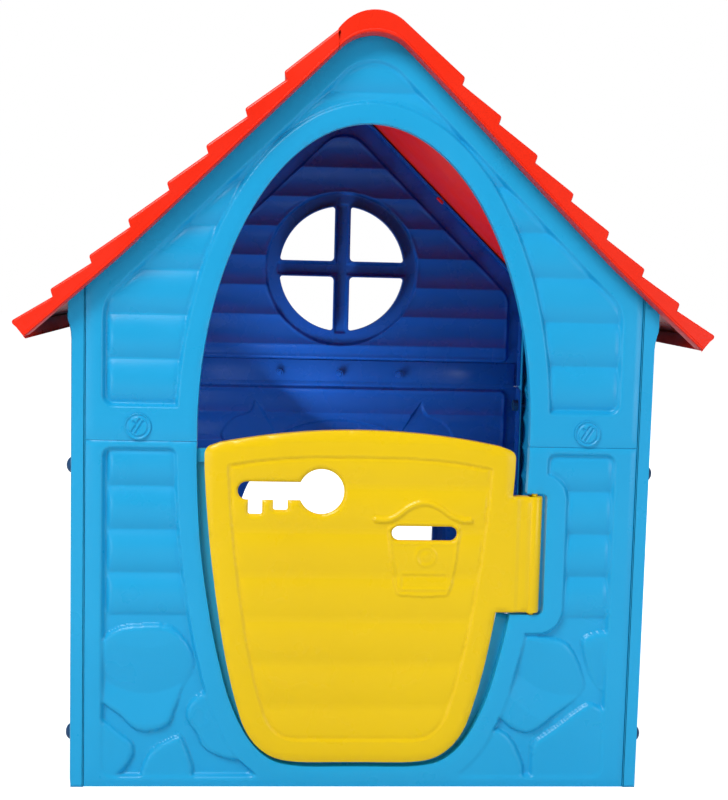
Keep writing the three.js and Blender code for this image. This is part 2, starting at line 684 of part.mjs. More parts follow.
// The bolts through the overlap of the upper and lower panels point along Y.
const overlapBack = INNER_Y + GAP + SHEET + GAP;
const splitLength = overlapBack + NUT_H + BOLT_PAST_NUT - FACE_Y;
function placeSplit(label, x, end, headR, headH, color) {
  const outward = (end * Math.PI) / 2;
  const bolt = node(`bolt_${label}`, slottedBolt(headR, headH, BOLT_R, splitLength), color);
  place(bolt, x, end * (WALL_HALF_DEPTH + GAP), SPLIT_BOLT_Z, outward);
  const ring = node(`nut_${label}`, nut(SPLIT_NUT_R, BOLT_R + GAP, NUT_H), color);
  place(ring, x, end * (-overlapBack - NUT_H), SPLIT_BOLT_Z, outward);
}

["front_split_left", "front_split_right"].forEach((label, i) => {
  placeSplit(label, FRONT_SPLIT_XS[i], -1, FRONT_HEAD_R, FRONT_HEAD_H, LIGHT_BLUE);
});
["back_split_left", "back_split_middle", "back_split_right"].forEach((label, i) => {
  placeSplit(label, BACK_SPLIT_XS[i], 1, HEAD_R, BACK_HEAD_H, DEEP_BLUE);
});

// The roof bolts go up through the gables' sloping edges into bosses under the tiles.
for (const [sideName, turn] of Object.entries(SIDES)) {
  const side = Math.cos(turn);
  for (const [endName, end] of Object.entries(ENDS)) {
    const headTop = -SHEET - GAP;
    const headBase = headTop - ROOF_BOLT.headH;
    const tip = ROOF_BOLT.reach - GAP;
    const profile = [
      new THREE.Vector2(0, headBase), new THREE.Vector2(ROOF_BOLT.head, headBase),
      new THREE.Vector2(ROOF_BOLT.head, headTop), new THREE.Vector2(ROOF_BOLT.shank, headTop),
      new THREE.Vector2(ROOF_BOLT.shank, tip), new THREE.Vector2(0, tip),
    ];
    const turned = new THREE.LatheGeometry(profile, 16).rotateX(Math.PI / 2).rotateY(side * LEAN);
    const bolt = node(`roof_bolt_${sideName}_${endName}`, solid(turned), RED);
    place(bolt, side * ROOF_BOLT.x, end * ROOF_BOLT.y, GABLE_LINE_Z - SLOPE * ROOF_BOLT.x);
  }
}

export default house;
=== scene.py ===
"""Looks for the plastic playhouse: moulded relief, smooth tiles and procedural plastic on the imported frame.

Shapes are worked out in millimetres and handed to Blender in metres. A sheet is drawn in its own
coordinates: u along the wall, z up, and w out of the wall.
"""

import json
import math

import bmesh
import bpy
import numpy as np
from mathutils import Matrix, Vector
from mathutils.geometry import delaunay_2d_cdt


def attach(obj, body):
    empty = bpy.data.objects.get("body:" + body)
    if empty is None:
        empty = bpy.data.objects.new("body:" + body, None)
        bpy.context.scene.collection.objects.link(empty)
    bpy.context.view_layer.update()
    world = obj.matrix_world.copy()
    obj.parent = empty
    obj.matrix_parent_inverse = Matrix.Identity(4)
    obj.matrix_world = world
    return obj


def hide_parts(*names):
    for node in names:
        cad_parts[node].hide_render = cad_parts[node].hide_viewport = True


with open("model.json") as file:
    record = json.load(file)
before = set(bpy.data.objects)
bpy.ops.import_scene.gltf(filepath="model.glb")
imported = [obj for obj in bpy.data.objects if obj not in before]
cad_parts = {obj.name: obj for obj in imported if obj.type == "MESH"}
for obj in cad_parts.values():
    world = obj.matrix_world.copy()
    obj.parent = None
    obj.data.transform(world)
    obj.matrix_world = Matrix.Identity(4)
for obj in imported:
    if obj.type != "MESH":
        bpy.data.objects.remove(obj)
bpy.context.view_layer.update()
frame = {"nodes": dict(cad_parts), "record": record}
MM = 0.001

# ---- the part's driving dimensions, in millimetres ----
WALL_X = 397
WALL_Y = 425
SHEET = 2.5
SPLIT_Z = 484
GAP = 0.3
CORNER_STRIP = 19
PANEL_HALF = WALL_X - CORNER_STRIP - GAP
RETURN_DEPTH = 40
FOOT_DEPTH = 22
SLOPE = 0.98
LEAN = math.atan(SLOPE)
GABLE_LINE = 1070.4
GABLE_R = 90
GABLE_RECESS = {"drop": 48, "apex_r": 56}
FRAME_WIDTH = 25
FRAME_DEPTH = 16.5
ARCH = {"half": 228, "spring": 500, "top": 916.5}
DOORWAY_SIDE = [
    (228, 500), (227.5, 440), (221.5, 340), (208, 245), (196, 186),
    (176, 116), (147, 62), (119, 38), (85, 29.8), (0, 29),
]
NOTCH = {"right": 255.4, "low": 248, "high": 419, "corner": 8}
STOP = {"lip": 16, "top": 474, "hinge": 246, "tab": 455}
DOOR_SIDE = [
    (213, 474), (212, 438), (204.5, 346), (190, 238), (178, 172),
    (165, 120), (153.5, 86), (138, 62), (117, 45.6), (92, 38.4), (0, 37),
]
DOOR = {
    "centre": -4, "top": 503, "top_r": 961, "corner": 7, "front": -430, "depth": 15, "hole": 7, "roll": 3.5,
}
TAB = {"low": 252, "high": 415, "start": 212, "sunk": 1.4}
HINGE = {"x": 238, "y": -419, "barrel": 11, "pin": 4, "pin_length": 9, "socket": 6}
KEY = {"x": -57.4, "z": 418, "bow": 31.2, "half": 12.5, "end": -159}
KEY_TEETH = [(-157.3, -138, 386), (-123, -103.2, 392)]
SLOT = {"left": 50.5, "right": 120.6, "z": 362, "half": 9.9}
WINDOW = {"z": 722, "r": 129, "ring": 25, "bar": 16.3, "depth": 10}
CRAWL = {"half": 205, "spring": 190, "top": 380, "sill": 30, "ring": 23}
SIDE_WINDOW = {"half": 150, "z": 420, "high": 125, "corner": 25, "ring": 24, "depth": 10}
SIDE_TOP = 680
RIDGE_TOP = 1060
ROOF_HALF_WIDTH = 470
ROOF_HALF_DEPTH = 450

# Moulded relief
RECESS_DEPTH = 9
PLANK_RISE = 6.5
STONE_RISE = 7.5
PLANK_PITCH = 60.3
PLANK_BELLY = 2.2
PLINTH_TOP = 238
LOW_PLANKS = 240 - 4 * PLANK_PITCH
RECESS_FALL = 6
CREASE = {"z": 131, "centre": 295, "curve": 0.006, "pinch": 6.2, "above": 66, "below": 42, "tall": 190}
EDGE_ROLL = 1.6
SHARP_TURN = math.radians(35)
FLAT = 0.995


# ---- small geometry helpers ----


def arc(cu, cz, ru, rz, start, end, steps):
    """Points on part of an ellipse, between two angles in degrees."""
    a = np.radians(np.linspace(start, end, steps + 1))
    return np.stack([cu + ru * np.cos(a), cz + rz * np.sin(a)], 1)


def smooth_path(points, count, closed=False):
    """A centripetal Catmull-Rom curve through the points."""
    p = np.array(points, float)
    if closed:
        p = np.vstack([p[-1], p, p[0], p[1]])
    else:
        p = np.vstack([2 * p[0] - p[1], p, 2 * p[-1] - p[-2]])
    knots = np.concatenate([[0], np.cumsum(np.sqrt(np.linalg.norm(np.diff(p, axis=0), axis=1)))])
    spans = len(p) - 3
    out = []
    for s in np.linspace(0, spans, count + 1)[: count + (0 if closed else 1)]:
        i = min(int(s), spans - 1)
        t0, t1, t2, t3 = knots[i : i + 4]
        p0, p1, p2, p3 = p[i : i + 4]
        t = t1 + (s - i) * (t2 - t1)
        a1 = (t1 - t) / (t1 - t0) * p0 + (t - t0) / (t1 - t0) * p1
        a2 = (t2 - t) / (t2 - t1) * p1 + (t - t1) / (t2 - t1) * p2
        a3 = (t3 - t) / (t3 - t2) * p2 + (t - t2) / (t3 - t2) * p3
        b1 = (t2 - t) / (t2 - t0) * a1 + (t - t0) / (t2 - t0) * a2
        b2 = (t3 - t) / (t3 - t1) * a2 + (t - t1) / (t3 - t1) * a3
        out.append((t2 - t) / (t2 - t1) * b1 + (t - t1) / (t2 - t1) * b2)
    return np.array(out)


def rounded(points, radii):
    """A polygon with its corners rounded; radii is one number or one per corner."""
    p = np.array(points, float)
    radii = np.broadcast_to(radii, len(p))
    out = []
    for before, corner, after, r in zip(np.roll(p, 1, 0), p, np.roll(p, -1, 0), radii):
        if r <= 0:
            out.append(corner)
            continue
        a, b = before - corner, after - corner
        a, b = a / np.linalg.norm(a), b / np.linalg.norm(b)
        half = math.acos(np.clip(a @ b, -1, 1)) / 2
        cut = r / math.tan(half)
        centre = corner + (a + b) / np.linalg.norm(a + b) * r / math.sin(half)
        start, end = corner + a * cut - centre, corner + b * cut - centre
        turn = math.atan2(start[0] * end[1] - start[1] * end[0], start @ end)
        for t in np.linspace(0, turn, max(3, int(abs(turn) / 0.25) + 2)):
            c, s = math.cos(t), math.sin(t)
            out.append(centre + np.array([c * start[0] - s * start[1], s * start[0] + c * start[1]]))
    return np.array(out)


def rectangle(left, right, low, high, r=0.0):
    return rounded([(left, low), (right, low), (right, high), (left, high)], r)


def spaced(loop, step):
    """A closed loop with long sides divided and points that nearly coincide dropped."""
    loop = np.array(loop, float)
    loop = loop[np.linalg.norm(loop - np.roll(loop, 1, 0), axis=1) > 0.05]
    out = []
    for a, b in zip(loop, np.roll(loop, -1, 0)):
        parts = max(1, math.ceil(np.linalg.norm(b - a) / step))
        out += [a + (b - a) * k / parts for k in range(parts)]
    return np.array(out)


def line_distance(points, line, closed=True):
    """Distance from each point to a line of straight pieces."""
    a = np.array(line, float)
    b = np.roll(a, -1, 0) if closed else a[1:]
    a = a if closed else a[:-1]
    ab = b - a
    best = np.full(len(points), 1e9)
    for start, along in zip(a, ab):
        rel = points - start
        t = np.clip(rel @ along / max(along @ along, 1e-12), 0, 1)
        best = np.minimum(best, np.linalg.norm(rel - t[:, None] * along, axis=1))
    return best


def contains(points, loop):
    loop = np.array(loop, float)
    inside = np.zeros(len(points), bool)
    u, z = points[:, 0], points[:, 1]
    for (u0, z0), (u1, z1) in zip(loop, np.roll(loop, -1, 0)):
        if z0 == z1:
            continue
        crosses = (z0 > z) != (z1 > z)
        inside ^= crosses & (u < (u1 - u0) * (z - z0) / (z1 - z0) + u0)
    return inside


def depth_in(points, loop, reach=60.0):
    """How far each point is inside a loop; negative outside, and no less than minus reach."""
    loop = np.array(loop, float)
    low, high = loop.min(0) - reach, loop.max(0) + reach
    near = ((points >= low) & (points <= high)).all(1)
    out = np.full(len(points), -reach)
    if near.any():
        p = points[near]
        d = line_distance(p, loop)
        out[near] = np.maximum(np.where(contains(p, loop), d, -d), -reach)
    return out


def rounded_min(a, b, r):
    """The lesser of two depths, with the corner between them rounded."""
    corner = (a < r) & (b < r)
    return np.where(corner, r - np.hypot(np.maximum(r - a, 0), np.maximum(r - b, 0)), np.minimum(a, b))


def ramp(d, width):
    t = np.clip(d / width, 0, 1)
    return t * t * (3 - 2 * t)


def cushion(d, r):
    """Rises from 0 to 1 as a quarter circle does, over a distance r."""
    return np.sqrt(1 - (1 - np.clip(d / r, 0, 1)) ** 2)


# ---- meshes ----


def new_faces(bm, points, faces, sharp=()):
    """Adds points in millimetres and faces by index; sharp holds pairs of points."""
    verts = [bm.verts.new(p) for p in (np.asarray(points) * MM).tolist()]
    for face in faces:
        bm.faces.new([verts[i] for i in face]).smooth = True
    for a, b in sharp:
        edge = bm.edges.get((verts[a], verts[b]))
        if edge:
            edge.smooth = False
    return verts


def triangulate(points, loops, band=False):
    """Delaunay triangles over points whose first entries are the loops, in order.

    The first loop is the outside and the others are holes; a band lies between two loops.
    """
    edges = []
    start = 0
    for loop in loops:
        n = len(loop)
        edges += [(start + k, start + (k + 1) % n) for k in range(n)]
        start += n
    made = delaunay_2d_cdt([Vector(p) for p in points.tolist()], edges, [], 0, 1e-7)
    if not all(made[3]):
        raise ValueError(f"loops cross at {[tuple(v) for v, ids in zip(made[0], made[3]) if not ids][:4]}")
    source = [ids[0] for ids in made[3]]
    faces = np.array([[source[i] for i in f] for f in made[2]])
    centres = points[faces].mean(1)
    keep = contains(centres, loops[0])
    for hole in loops[1:]:
        keep = keep ^ contains(centres, hole) if band else keep & ~contains(centres, hole)
    return faces[keep]


def dilate(mask):
    grown = mask.copy()
    for axis in (0, 1):
        for shift in (-1, 1):
            grown |= np.roll(mask, shift, axis)
    return grown


def relief_points(height, loops, fine):
    """Points inside the loops, closer together where the relief bends, with their depths and heights."""
    low, high = loops[0].min(0), loops[0].max(0)
    u = np.arange(low[0] + fine / 2, high[0], fine)
    z = np.arange(low[1] + fine / 2, high[1], fine)
    grid_u, grid_z = np.meshgrid(u, z, indexing="ij")
    points = np.stack([grid_u.ravel(), grid_z.ravel()], 1)
    flat = height(points)
    h = flat.reshape(grid_u.shape)
    bend = np.zeros(h.shape)
    bend[1:-1] = np.abs(h[2:] + h[:-2] - 2 * h[1:-1])
    bend[:, 1:-1] = np.maximum(bend[:, 1:-1], np.abs(h[:, 2:] + h[:, :-2] - 2 * h[:, 1:-1]))
    i, j = np.indices(h.shape)
    busy = dilate(bend > 0.11)
    mild = dilate(dilate(bend > 0.012)) & (i % 2 == 0) & (j % 2 == 0)
    keep = (busy | mild | ((i % 4 == 0) & (j % 4 == 0))).ravel()
    points, flat = points[keep], flat[keep]
    depth = edge_depth(points, loops)
    inside = depth > 0.6 * fine
    return points[inside], depth[inside], flat[inside]


def edge_depth(points, loops):
    depth = depth_in(points, loops[0])
    for hole in loops[1:]:
        depth = np.minimum(depth, -depth_in(points, hole))
    return depth


def inset(loop, distance):
    """A loop moved to its left, which is into the material, and which of its points are kept."""
    ahead = np.roll(loop, -1, 0) - loop
    ahead /= np.linalg.norm(ahead, axis=1)[:, None]
    behind = np.roll(ahead, 1, 0)
    normal = np.stack([-(ahead + behind)[:, 1], (ahead + behind)[:, 0]], 1)
    normal /= np.linalg.norm(normal, axis=1)[:, None]
    share = np.maximum((normal * np.stack([-ahead[:, 1], ahead[:, 0]], 1)).sum(1), 0.5)
    moved = loop + normal * (distance / share)[:, None]
    clear = line_distance(moved, loop) > 0.97 * distance
    return moved[clear], np.flatnonzero(clear)


def relief_sheet(bm, loops, height, place, turned_in, fine=2.0, thick=SHEET, roll=EDGE_ROLL):
    """A thin closed sheet with relief, turned in along its edges.

    loops run with the material on their left. height(points) is how far the face stands out,
    place(u, z, w) gives the point in the house, and turned_in(points) is how far back the
    turned-in edge reaches and how much higher it ends.
    """
    loops = [spaced(loop, 4.5) for loop in loops]
    rim = np.vstack(loops)
    grid, depth, grid_w = relief_points(height, loops, fine)
    outer = np.vstack([rim, grid])
    from_edge = np.concatenate([np.zeros(len(rim)), depth])
    outer_w = np.concatenate([height(rim), grid_w]) - roll * (1 - np.clip(from_edge / roll, 0, 1)) ** 2
    moved = [inset(loop, thick) for loop in loops]
    inner_loops = [m[0] for m in moved]
    inner_rim = np.vstack(inner_loops)
    deep = depth > thick + 0.5 * fine
    inner = np.vstack([inner_rim, grid[deep]])
    inner_w = np.concatenate([height(inner_rim), grid_w[deep]]) - thick
    back, lift = turned_in(rim)
    starts = np.cumsum([0] + [len(loop) for loop in loops])
    source = np.concatenate([s + m[1] for s, m in zip(starts, moved)])
    layers = [
        (outer, outer_w),
        (inner, inner_w),
        (rim + np.stack([0 * lift, lift], 1), -back),
        (inner_rim + np.stack([0 * lift, lift], 1)[source], -back[source]),
    ]
    points = np.vstack([place(p[:, 0], p[:, 1], w) for p, w in layers])
    i0 = len(outer)
    r0 = i0 + len(inner)
    s0 = r0 + len(rim)
    faces = triangulate(outer, loops).tolist()
    faces += [[i0 + c, i0 + b, i0 + a] for a, b, c in triangulate(inner, inner_loops).tolist()]
    sharp = []
    outer_start = inner_start = 0
    for loop, moved_loop in zip(loops, inner_loops):
        n, m = len(loop), len(moved_loop)
        for k in range(n):
            a, b = outer_start + k, outer_start + (k + 1) % n
            faces.append([a, r0 + a, r0 + b, b])
            sharp += [(a, b), (r0 + a, r0 + b)]
        for k in range(m):
            a, b = inner_start + k, inner_start + (k + 1) % m
            faces.append([s0 + a, i0 + a, i0 + b, s0 + b])
            sharp += [(s0 + a, s0 + b), (i0 + a, i0 + b)]
        index = np.concatenate([np.arange(n) + r0 + outer_start, np.arange(m) + s0 + inner_start])
        band = triangulate(np.vstack([loop, moved_loop]), [loop, moved_loop], band=True)
        faces += index[band][:, ::-1].tolist()
        outer_start += n
        inner_start += m
    new_faces(bm, points, faces, sharp)


def ribbon(bm, line, width, place, low_w, high_w):
    """A flat closed strip to the left of an open line, between two heights."""
    line = np.array(line, float)
    ahead = np.gradient(line, axis=0)
    ahead /= np.linalg.norm(ahead, axis=1)[:, None]
    other = line + np.stack([-ahead[:, 1], ahead[:, 0]], 1) * width
    n = len(line)
    rows = [(line, high_w), (other, high_w), (other, low_w), (line, low_w)]
    points = np.vstack([place(p[:, 0], p[:, 1], np.full(n, float(w))) for p, w in rows])
    faces = []
    sharp = []
    for side in range(4):
        a, b = side * n, (side + 1) % 4 * n
        faces += [[a + k, a + k + 1, b + k + 1, b + k] for k in range(n - 1)]
        sharp += [(a + k, a + k + 1) for k in range(n - 1)]
    faces += [[3 * n, 2 * n, n, 0], [n - 1, 2 * n - 1, 3 * n - 1, 4 * n - 1]]
    new_faces(bm, points, faces, sharp)


def slab(bm, low, high, bevel=0.8):
    """A block between two corners, with its edges rounded."""
    made = bmesh.new()
    bmesh.ops.create_cube(made, size=1)
    size = (np.array(high) - low) * MM
    middle = (np.array(high) + low) / 2 * MM
    made.transform(Matrix.Translation(middle) @ Matrix.Diagonal((*size, 1)))
    bmesh.ops.bevel(made, geom=made.edges[:], offset=bevel * MM, segments=2, affect="EDGES", profile=0.5)
    add_bmesh(bm, made)


def turned(bm, profile, origin, axis, segments=40):
    """A solid of revolution: profile is (radius, distance along the axis), from axis to axis."""
    z_axis = Vector(axis).normalized()
    turn = z_axis.to_track_quat("Z", "Y").to_matrix()
    rings = []
    made = bmesh.new()
    for r, along in profile:
        if r < 1e-6:
            rings.append([made.verts.new((0, 0, along * MM))])
            continue
        angles = [2 * math.pi * k / segments for k in range(segments)]
        circle = [(r * math.cos(a) * MM, r * math.sin(a) * MM, along * MM) for a in angles]
        rings.append([made.verts.new(p) for p in circle])
    for lower, upper in zip(rings, rings[1:]):
        for k in range(segments):
            a, b = k, (k + 1) % segments
            n, m = len(lower), len(upper)
            face = [lower[a % n], lower[b % n], upper[b % m], upper[a % m]]
            made.faces.new(list(dict.fromkeys(face)))
    made.transform(Matrix.Translation(Vector(origin) * MM) @ turn.to_4x4())
    bmesh.ops.recalc_face_normals(made, faces=made.faces[:])
    for edge in made.edges:
        edge.smooth = edge.calc_face_angle(0) < SHARP_TURN
    add_bmesh(bm, made)


def add_bmesh(bm, made):
    """Moves one bmesh's faces into another."""
    bmesh.ops.recalc_face_normals(made, faces=made.faces[:])
    for face in made.faces:
        face.smooth = True
    for edge in made.edges:
        if edge.calc_face_angle(0) > SHARP_TURN:
            edge.smooth = False
    mesh = bpy.data.meshes.new("part")
    made.to_mesh(mesh)
    made.free()
    bm.from_mesh(mesh)
    bpy.data.meshes.remove(mesh)


def finish_piece(bm, name, slot, node, body="house"):
    """Turns a bmesh into a piece that stands for a CAD node and rides on a body."""
    mesh = bpy.data.meshes.new(name)
    bm.to_mesh(mesh)
    bm.free()
    mesh.materials.append(PLASTICS[slot])
    obj = bpy.data.objects.new(name, mesh)
    bpy.context.scene.collection.objects.link(obj)
    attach(obj, body)
    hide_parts(node)


# ---- materials ----


def moulded_plastic(name, color, deep, roughness):
    """Glossy moulded polyethylene: faint clouds of colour, uneven gloss, orange peel and wide dents."""
    material = bpy.data.materials.new(name)
    material.use_nodes = True
    nodes, links = material.node_tree.nodes, material.node_tree.links
    shader = nodes["Principled BSDF"]
    place = nodes.new("ShaderNodeTexCoord")

    def add(kind, **values):
        made = nodes.new(kind)
        for socket, value in values.items():
            made.inputs[socket.replace("_", " ")].default_value = value
        return made

    def noise(scale, detail, rough=0.5):
        made = add("ShaderNodeTexNoise", Scale=scale, Detail=detail, Roughness=rough)
        links.new(place.outputs["Object"], made.inputs["Vector"])
        return made.outputs["Fac"]

    shades = nodes.new("ShaderNodeValToRGB")
    for element, position, shade in zip(shades.color_ramp.elements, (0.3, 0.7), (deep, color)):
        element.position = position
        element.color = (*shade, 1)
    links.new(noise(3.2, 3), shades.inputs["Fac"])
    links.new(shades.outputs["Color"], shader.inputs["Base Color"])

    limits = {"From_Min": 0.3, "From_Max": 0.7, "To_Min": roughness - 0.05, "To_Max": roughness + 0.08}
    spread = add("ShaderNodeMapRange", **limits)
    links.new(noise(14, 4), spread.inputs["Value"])
    links.new(spread.outputs["Result"], shader.inputs["Roughness"])

    dents = add("ShaderNodeBump", Strength=0.25, Distance=0.0025)
    links.new(noise(7, 2), dents.inputs["Height"])
    skin = add("ShaderNodeBump", Strength=0.12, Distance=0.0003)
    links.new(noise(420, 3, 0.6), skin.inputs["Height"])
    links.new(dents.outputs["Normal"], skin.inputs["Normal"])
    links.new(skin.outputs["Normal"], shader.inputs["Normal"])
    shader.inputs["Specular IOR Level"].default_value = 0.3
    return material


# Colour, deeper colour and roughness of each slot.
PLASTICS = {
    "wall_blue": ((0.012, 0.36, 0.68), (0.008, 0.33, 0.64), 0.3),
    # back_blue is a dark navy: blue plastic with the painted shade of the house's inside in it, used on the
    # back panels and back bolts.
    "back_blue": ((0.008, 0.085, 0.42), (0.006, 0.07, 0.37), 0.26),
    "roof_red": ((0.84, 0.022, 0.002), (0.79, 0.016, 0.001), 0.32),
    "door_yellow": ((0.8, 0.535, 0.0), (0.76, 0.5, 0.0), 0.28),
    # bolt_blue is a near-black navy: blue plastic heads with painted shade in their colour.
    "bolt_blue": ((0.01, 0.06, 0.16), (0.008, 0.045, 0.13), 0.35),
}
PLASTICS = {slot: moulded_plastic(slot, *looks) for slot, looks in PLASTICS.items()}


# ---- outlines shared by the walls ----


def height_at(path, z):
    """The u of a side path at a height."""
    order = np.argsort(path[:, 1])
    return float(np.interp(z, path[order, 1], path[order, 0]))


def doorway_line():
    """Down the doorway's right side, with the hinge notch, round the bottom and up the left."""
    side = smooth_path(DOORWAY_SIDE, 60)
    side[-1, 0] = 0
    n = NOTCH
    above = side[side[:, 1] > n["high"] + 1]
    below = side[side[:, 1] < n["low"] - 1]
    c = n["corner"]
    notch = np.vstack([
        [(height_at(side, n["high"]), n["high"])],
        arc(n["right"] - c, n["high"] - c, c, c, 90, 0, 6),
        arc(n["right"] - c, n["low"] + c, c, c, 0, -90, 6),
        [(height_at(side, n["low"]), n["low"])],
    ])
    left = side[::-1][1:] * [-1, 1]
    return np.vstack([above, notch, below, left])


DOORWAY_LINE = doorway_line()


def doorway_arch():
    """The arch, from its left spring over the top to the right."""
    rise = ARCH["top"] - ARCH["spring"]
    return arc(0, ARCH["spring"], ARCH["half"], rise, 180, 0, 90)


DOORWAY = np.vstack([DOORWAY_LINE, doorway_arch()[1:-1]])


def gable_line(half, base):
    """A panel's outline under the roof, from its lower left corner round to its upper left."""
    line = GABLE_LINE
    centre = line - GABLE_R / math.cos(LEAN)
    lean = math.degrees(LEAN)
    apex = arc(0, centre, GABLE_R, GABLE_R, 90 - lean, 90 + lean, 16)
    side = line - SLOPE * half
    return np.vstack([[(-half, base), (half, base), (half, side)], apex, [(-half, side)]])


def gable_depth(points):
    """Depth of the gable's recess under both slopes, measured square to them."""
    line = GABLE_LINE - GABLE_RECESS["drop"]
    square = math.cos(LEAN)
    right = (line - SLOPE * points[:, 0] - points[:, 1]) * square
    left = (line + SLOPE * points[:, 0] - points[:, 1]) * square
    return rounded_min(left, right, GABLE_RECESS["apex_r"])


def planks(points, depth, first, pitch, end=10.0):
    """Rounded planks between level grooves, fading at the recess's edges."""
    across = np.mod(points[:, 1] - first, pitch) / pitch
    belly = 1 - np.abs(2 * across - 1) ** PLANK_BELLY
    return belly * cushion(depth, end)


# Stones of the front's plinth, left of the doorway and right of it.
STONES_LEFT = [
    [(-351, 212), (-332, 225), (-300, 230), (-260, 227), (-241, 210), (-228, 184), (-229, 162),
     (-241, 142), (-251, 112), (-261, 87), (-282, 77), (-307, 78), (-329, 98), (-358, 123), (-358, 180)],
    [(-385, 110), (-355, 97), (-328, 76), (-311, 61), (-309, 44), (-322, 22), (-340, 8), (-385, 0)],
    [(-290, 47), (-256, 70), (-245, 72), (-238, 60), (-231, 42), (-226, 20), (-232, 0), (-300, 0)],
    [(-205, 136), (-227, 127), (-238, 112), (-238, 95), (-225, 74), (-215, 54), (-200, 44),
     (-175, 36), (-140, 40), (-150, 110)],
]
STONES_RIGHT = [
    [(205, 219), (229, 219), (260, 217), (289, 210), (302, 196), (316, 166), (321, 142), (313, 128),
     (278, 100), (247, 77), (226, 78), (202, 95), (176, 130)],
    [(313, 214), (335, 224), (390, 224), (390, 122), (351, 132), (334, 145), (320, 174)],
    [(248, 62), (278, 87), (318, 118), (329, 122), (345, 116), (390, 114), (390, 0), (252, 0), (246, 34)],
    [(196, 84), (216, 72), (229, 50), (238, 24), (232, 0), (120, 0), (130, 60)],
]


def stones(points, outlines):
    """Rounded stones; the tall ones are pinched along a soft crease."""
    c = CREASE
    above = points[:, 1] - c["z"] - c["curve"] * (np.abs(points[:, 0]) - c["centre"]) ** 2
    away = np.where(above > 0, above / c["above"], -above / c["below"])
    pinch = c["pinch"] * np.maximum(1 - away, 0)
    out = np.zeros(len(points))
    for outline in outlines:
        loop = smooth_path(outline, 6 * len(outline), closed=True)
        depth = depth_in(points, loop, 12)
        tall = loop[:, 1].max() > c["tall"]
        out = np.maximum(out, (STONE_RISE - pinch * tall) * cushion(depth, 9) * (depth > 0))
    return out


# ---- front and back walls ----


def at_front(u, z, w):
    return np.stack([u, -WALL_Y - w, z], 1)


def at_back(u, z, w):
    return np.stack([-u, WALL_Y + w, z], 1)


def lower_turned_in(rim):
    """The lower panels' edges: deep at the sides, a foot below, shallow at the split."""
    back = np.full(len(rim), FRAME_DEPTH)
    back[np.abs(rim[:, 0]) > PANEL_HALF - 0.1] = RETURN_DEPTH
    back[rim[:, 1] < 0.1] = FOOT_DEPTH
    back[rim[:, 1] > SPLIT_Z - 1] = 6
    return back, np.zeros(len(rim))


def upper_turned_in(rim):
    back = np.full(len(rim), RETURN_DEPTH - 10.0)
    back[edge_of_opening(rim)] = FRAME_DEPTH
    back[rim[:, 1] < SPLIT_Z + 1] = 6
    return back, np.zeros(len(rim))


def edge_of_opening(rim):
    """Which points of a rim lie on the doorway or on the round window."""
    at_doorway = np.abs(depth_in(rim, DOORWAY, 5)) < 1
    return at_doorway | (np.hypot(rim[:, 0], rim[:, 1] - WINDOW["z"]) < WINDOW["r"] + 1)


def front_lower_height(points):
    frame_edge = -depth_in(points, DOORWAY, 420) - FRAME_WIDTH
    side = np.minimum(points[:, 0] + 356, 350 - points[:, 0])
    ends = np.minimum(points[:, 1] - 12, 476 - points[:, 1])
    recess = rounded_min(rounded_min(side, ends, 15), frame_edge, 12)
    plank_depth = np.minimum(recess - 2, points[:, 0] + 348)
    laid = planks(points, plank_depth, LOW_PLANKS, PLANK_PITCH)
    laid = laid * ramp(points[:, 1] - PLINTH_TOP, 8)
    floor = PLANK_RISE * laid + stones(points, STONES_LEFT + STONES_RIGHT)
    return (floor - RECESS_DEPTH) * ramp(recess, RECESS_FALL)


def front_upper_height(points):
    frame_edge = -depth_in(points, DOORWAY, 420) - FRAME_WIDTH
    side = np.minimum(points[:, 0] + 356, 352 - points[:, 0])
    under = gable_depth(points)
    recess = rounded_min(rounded_min(side, under, 16), points[:, 1] - 529, 16)
    recess = np.minimum(recess, frame_edge)
    plank_depth = np.minimum(recess - 2, points[:, 0] + 349)
    laid = planks(points, plank_depth, 535, PLANK_PITCH)
    return (PLANK_RISE * laid - RECESS_DEPTH) * ramp(recess, RECESS_FALL)


def front_lower():
    top = SPLIT_Z - GAP
    side = DOORWAY_LINE[DOORWAY_LINE[:, 1] < top]
    half = height_at(smooth_path(DOORWAY_SIDE, 60), top)
    loop = np.vstack([
        [(-PANEL_HALF, 0), (PANEL_HALF, 0), (PANEL_HALF, top), (half, top)],
        side, [(-half, top), (-PANEL_HALF, top)],
    ])
    bm = bmesh.new()
    relief_sheet(bm, [loop], front_lower_height, at_front, lower_turned_in)
    left = DOORWAY_LINE[(DOORWAY_LINE[:, 0] <= 0) & (DOORWAY_LINE[:, 1] < STOP["top"])]
    right = DOORWAY_LINE[(DOORWAY_LINE[:, 0] > 0) & (DOORWAY_LINE[:, 1] < STOP["hinge"])]
    ribbon(bm, np.vstack([right, left])[::-1], STOP["lip"], at_front, -FRAME_DEPTH, -FRAME_DEPTH + SHEET)
    ledge = -height_at(smooth_path(DOORWAY_SIDE, 60), STOP["tab"])
    slab(bm, (ledge - 1, -WALL_Y + 8.5, STOP["tab"]), (ledge + STOP["lip"] + 2, -WALL_Y + 12.5, STOP["top"]))
    for low, high in ((NOTCH["high"], NOTCH["high"] + 12), (NOTCH["low"] - 12, NOTCH["low"])):
        turned(bm, rod(HINGE["socket"], low, high, 0.6), (HINGE["x"], HINGE["y"], 0), (0, 0, 1))
    for inner, outer in ((-PANEL_HALF + 8, -262), (262, PANEL_HALF - 8)):
        slab(bm, (inner, -WALL_Y + 2.8, SPLIT_Z - 6), (outer, -WALL_Y + 5.3, SPLIT_Z + 38))
    finish_piece(bm, "front_lower_shell", "wall_blue", "front_lower_panel")


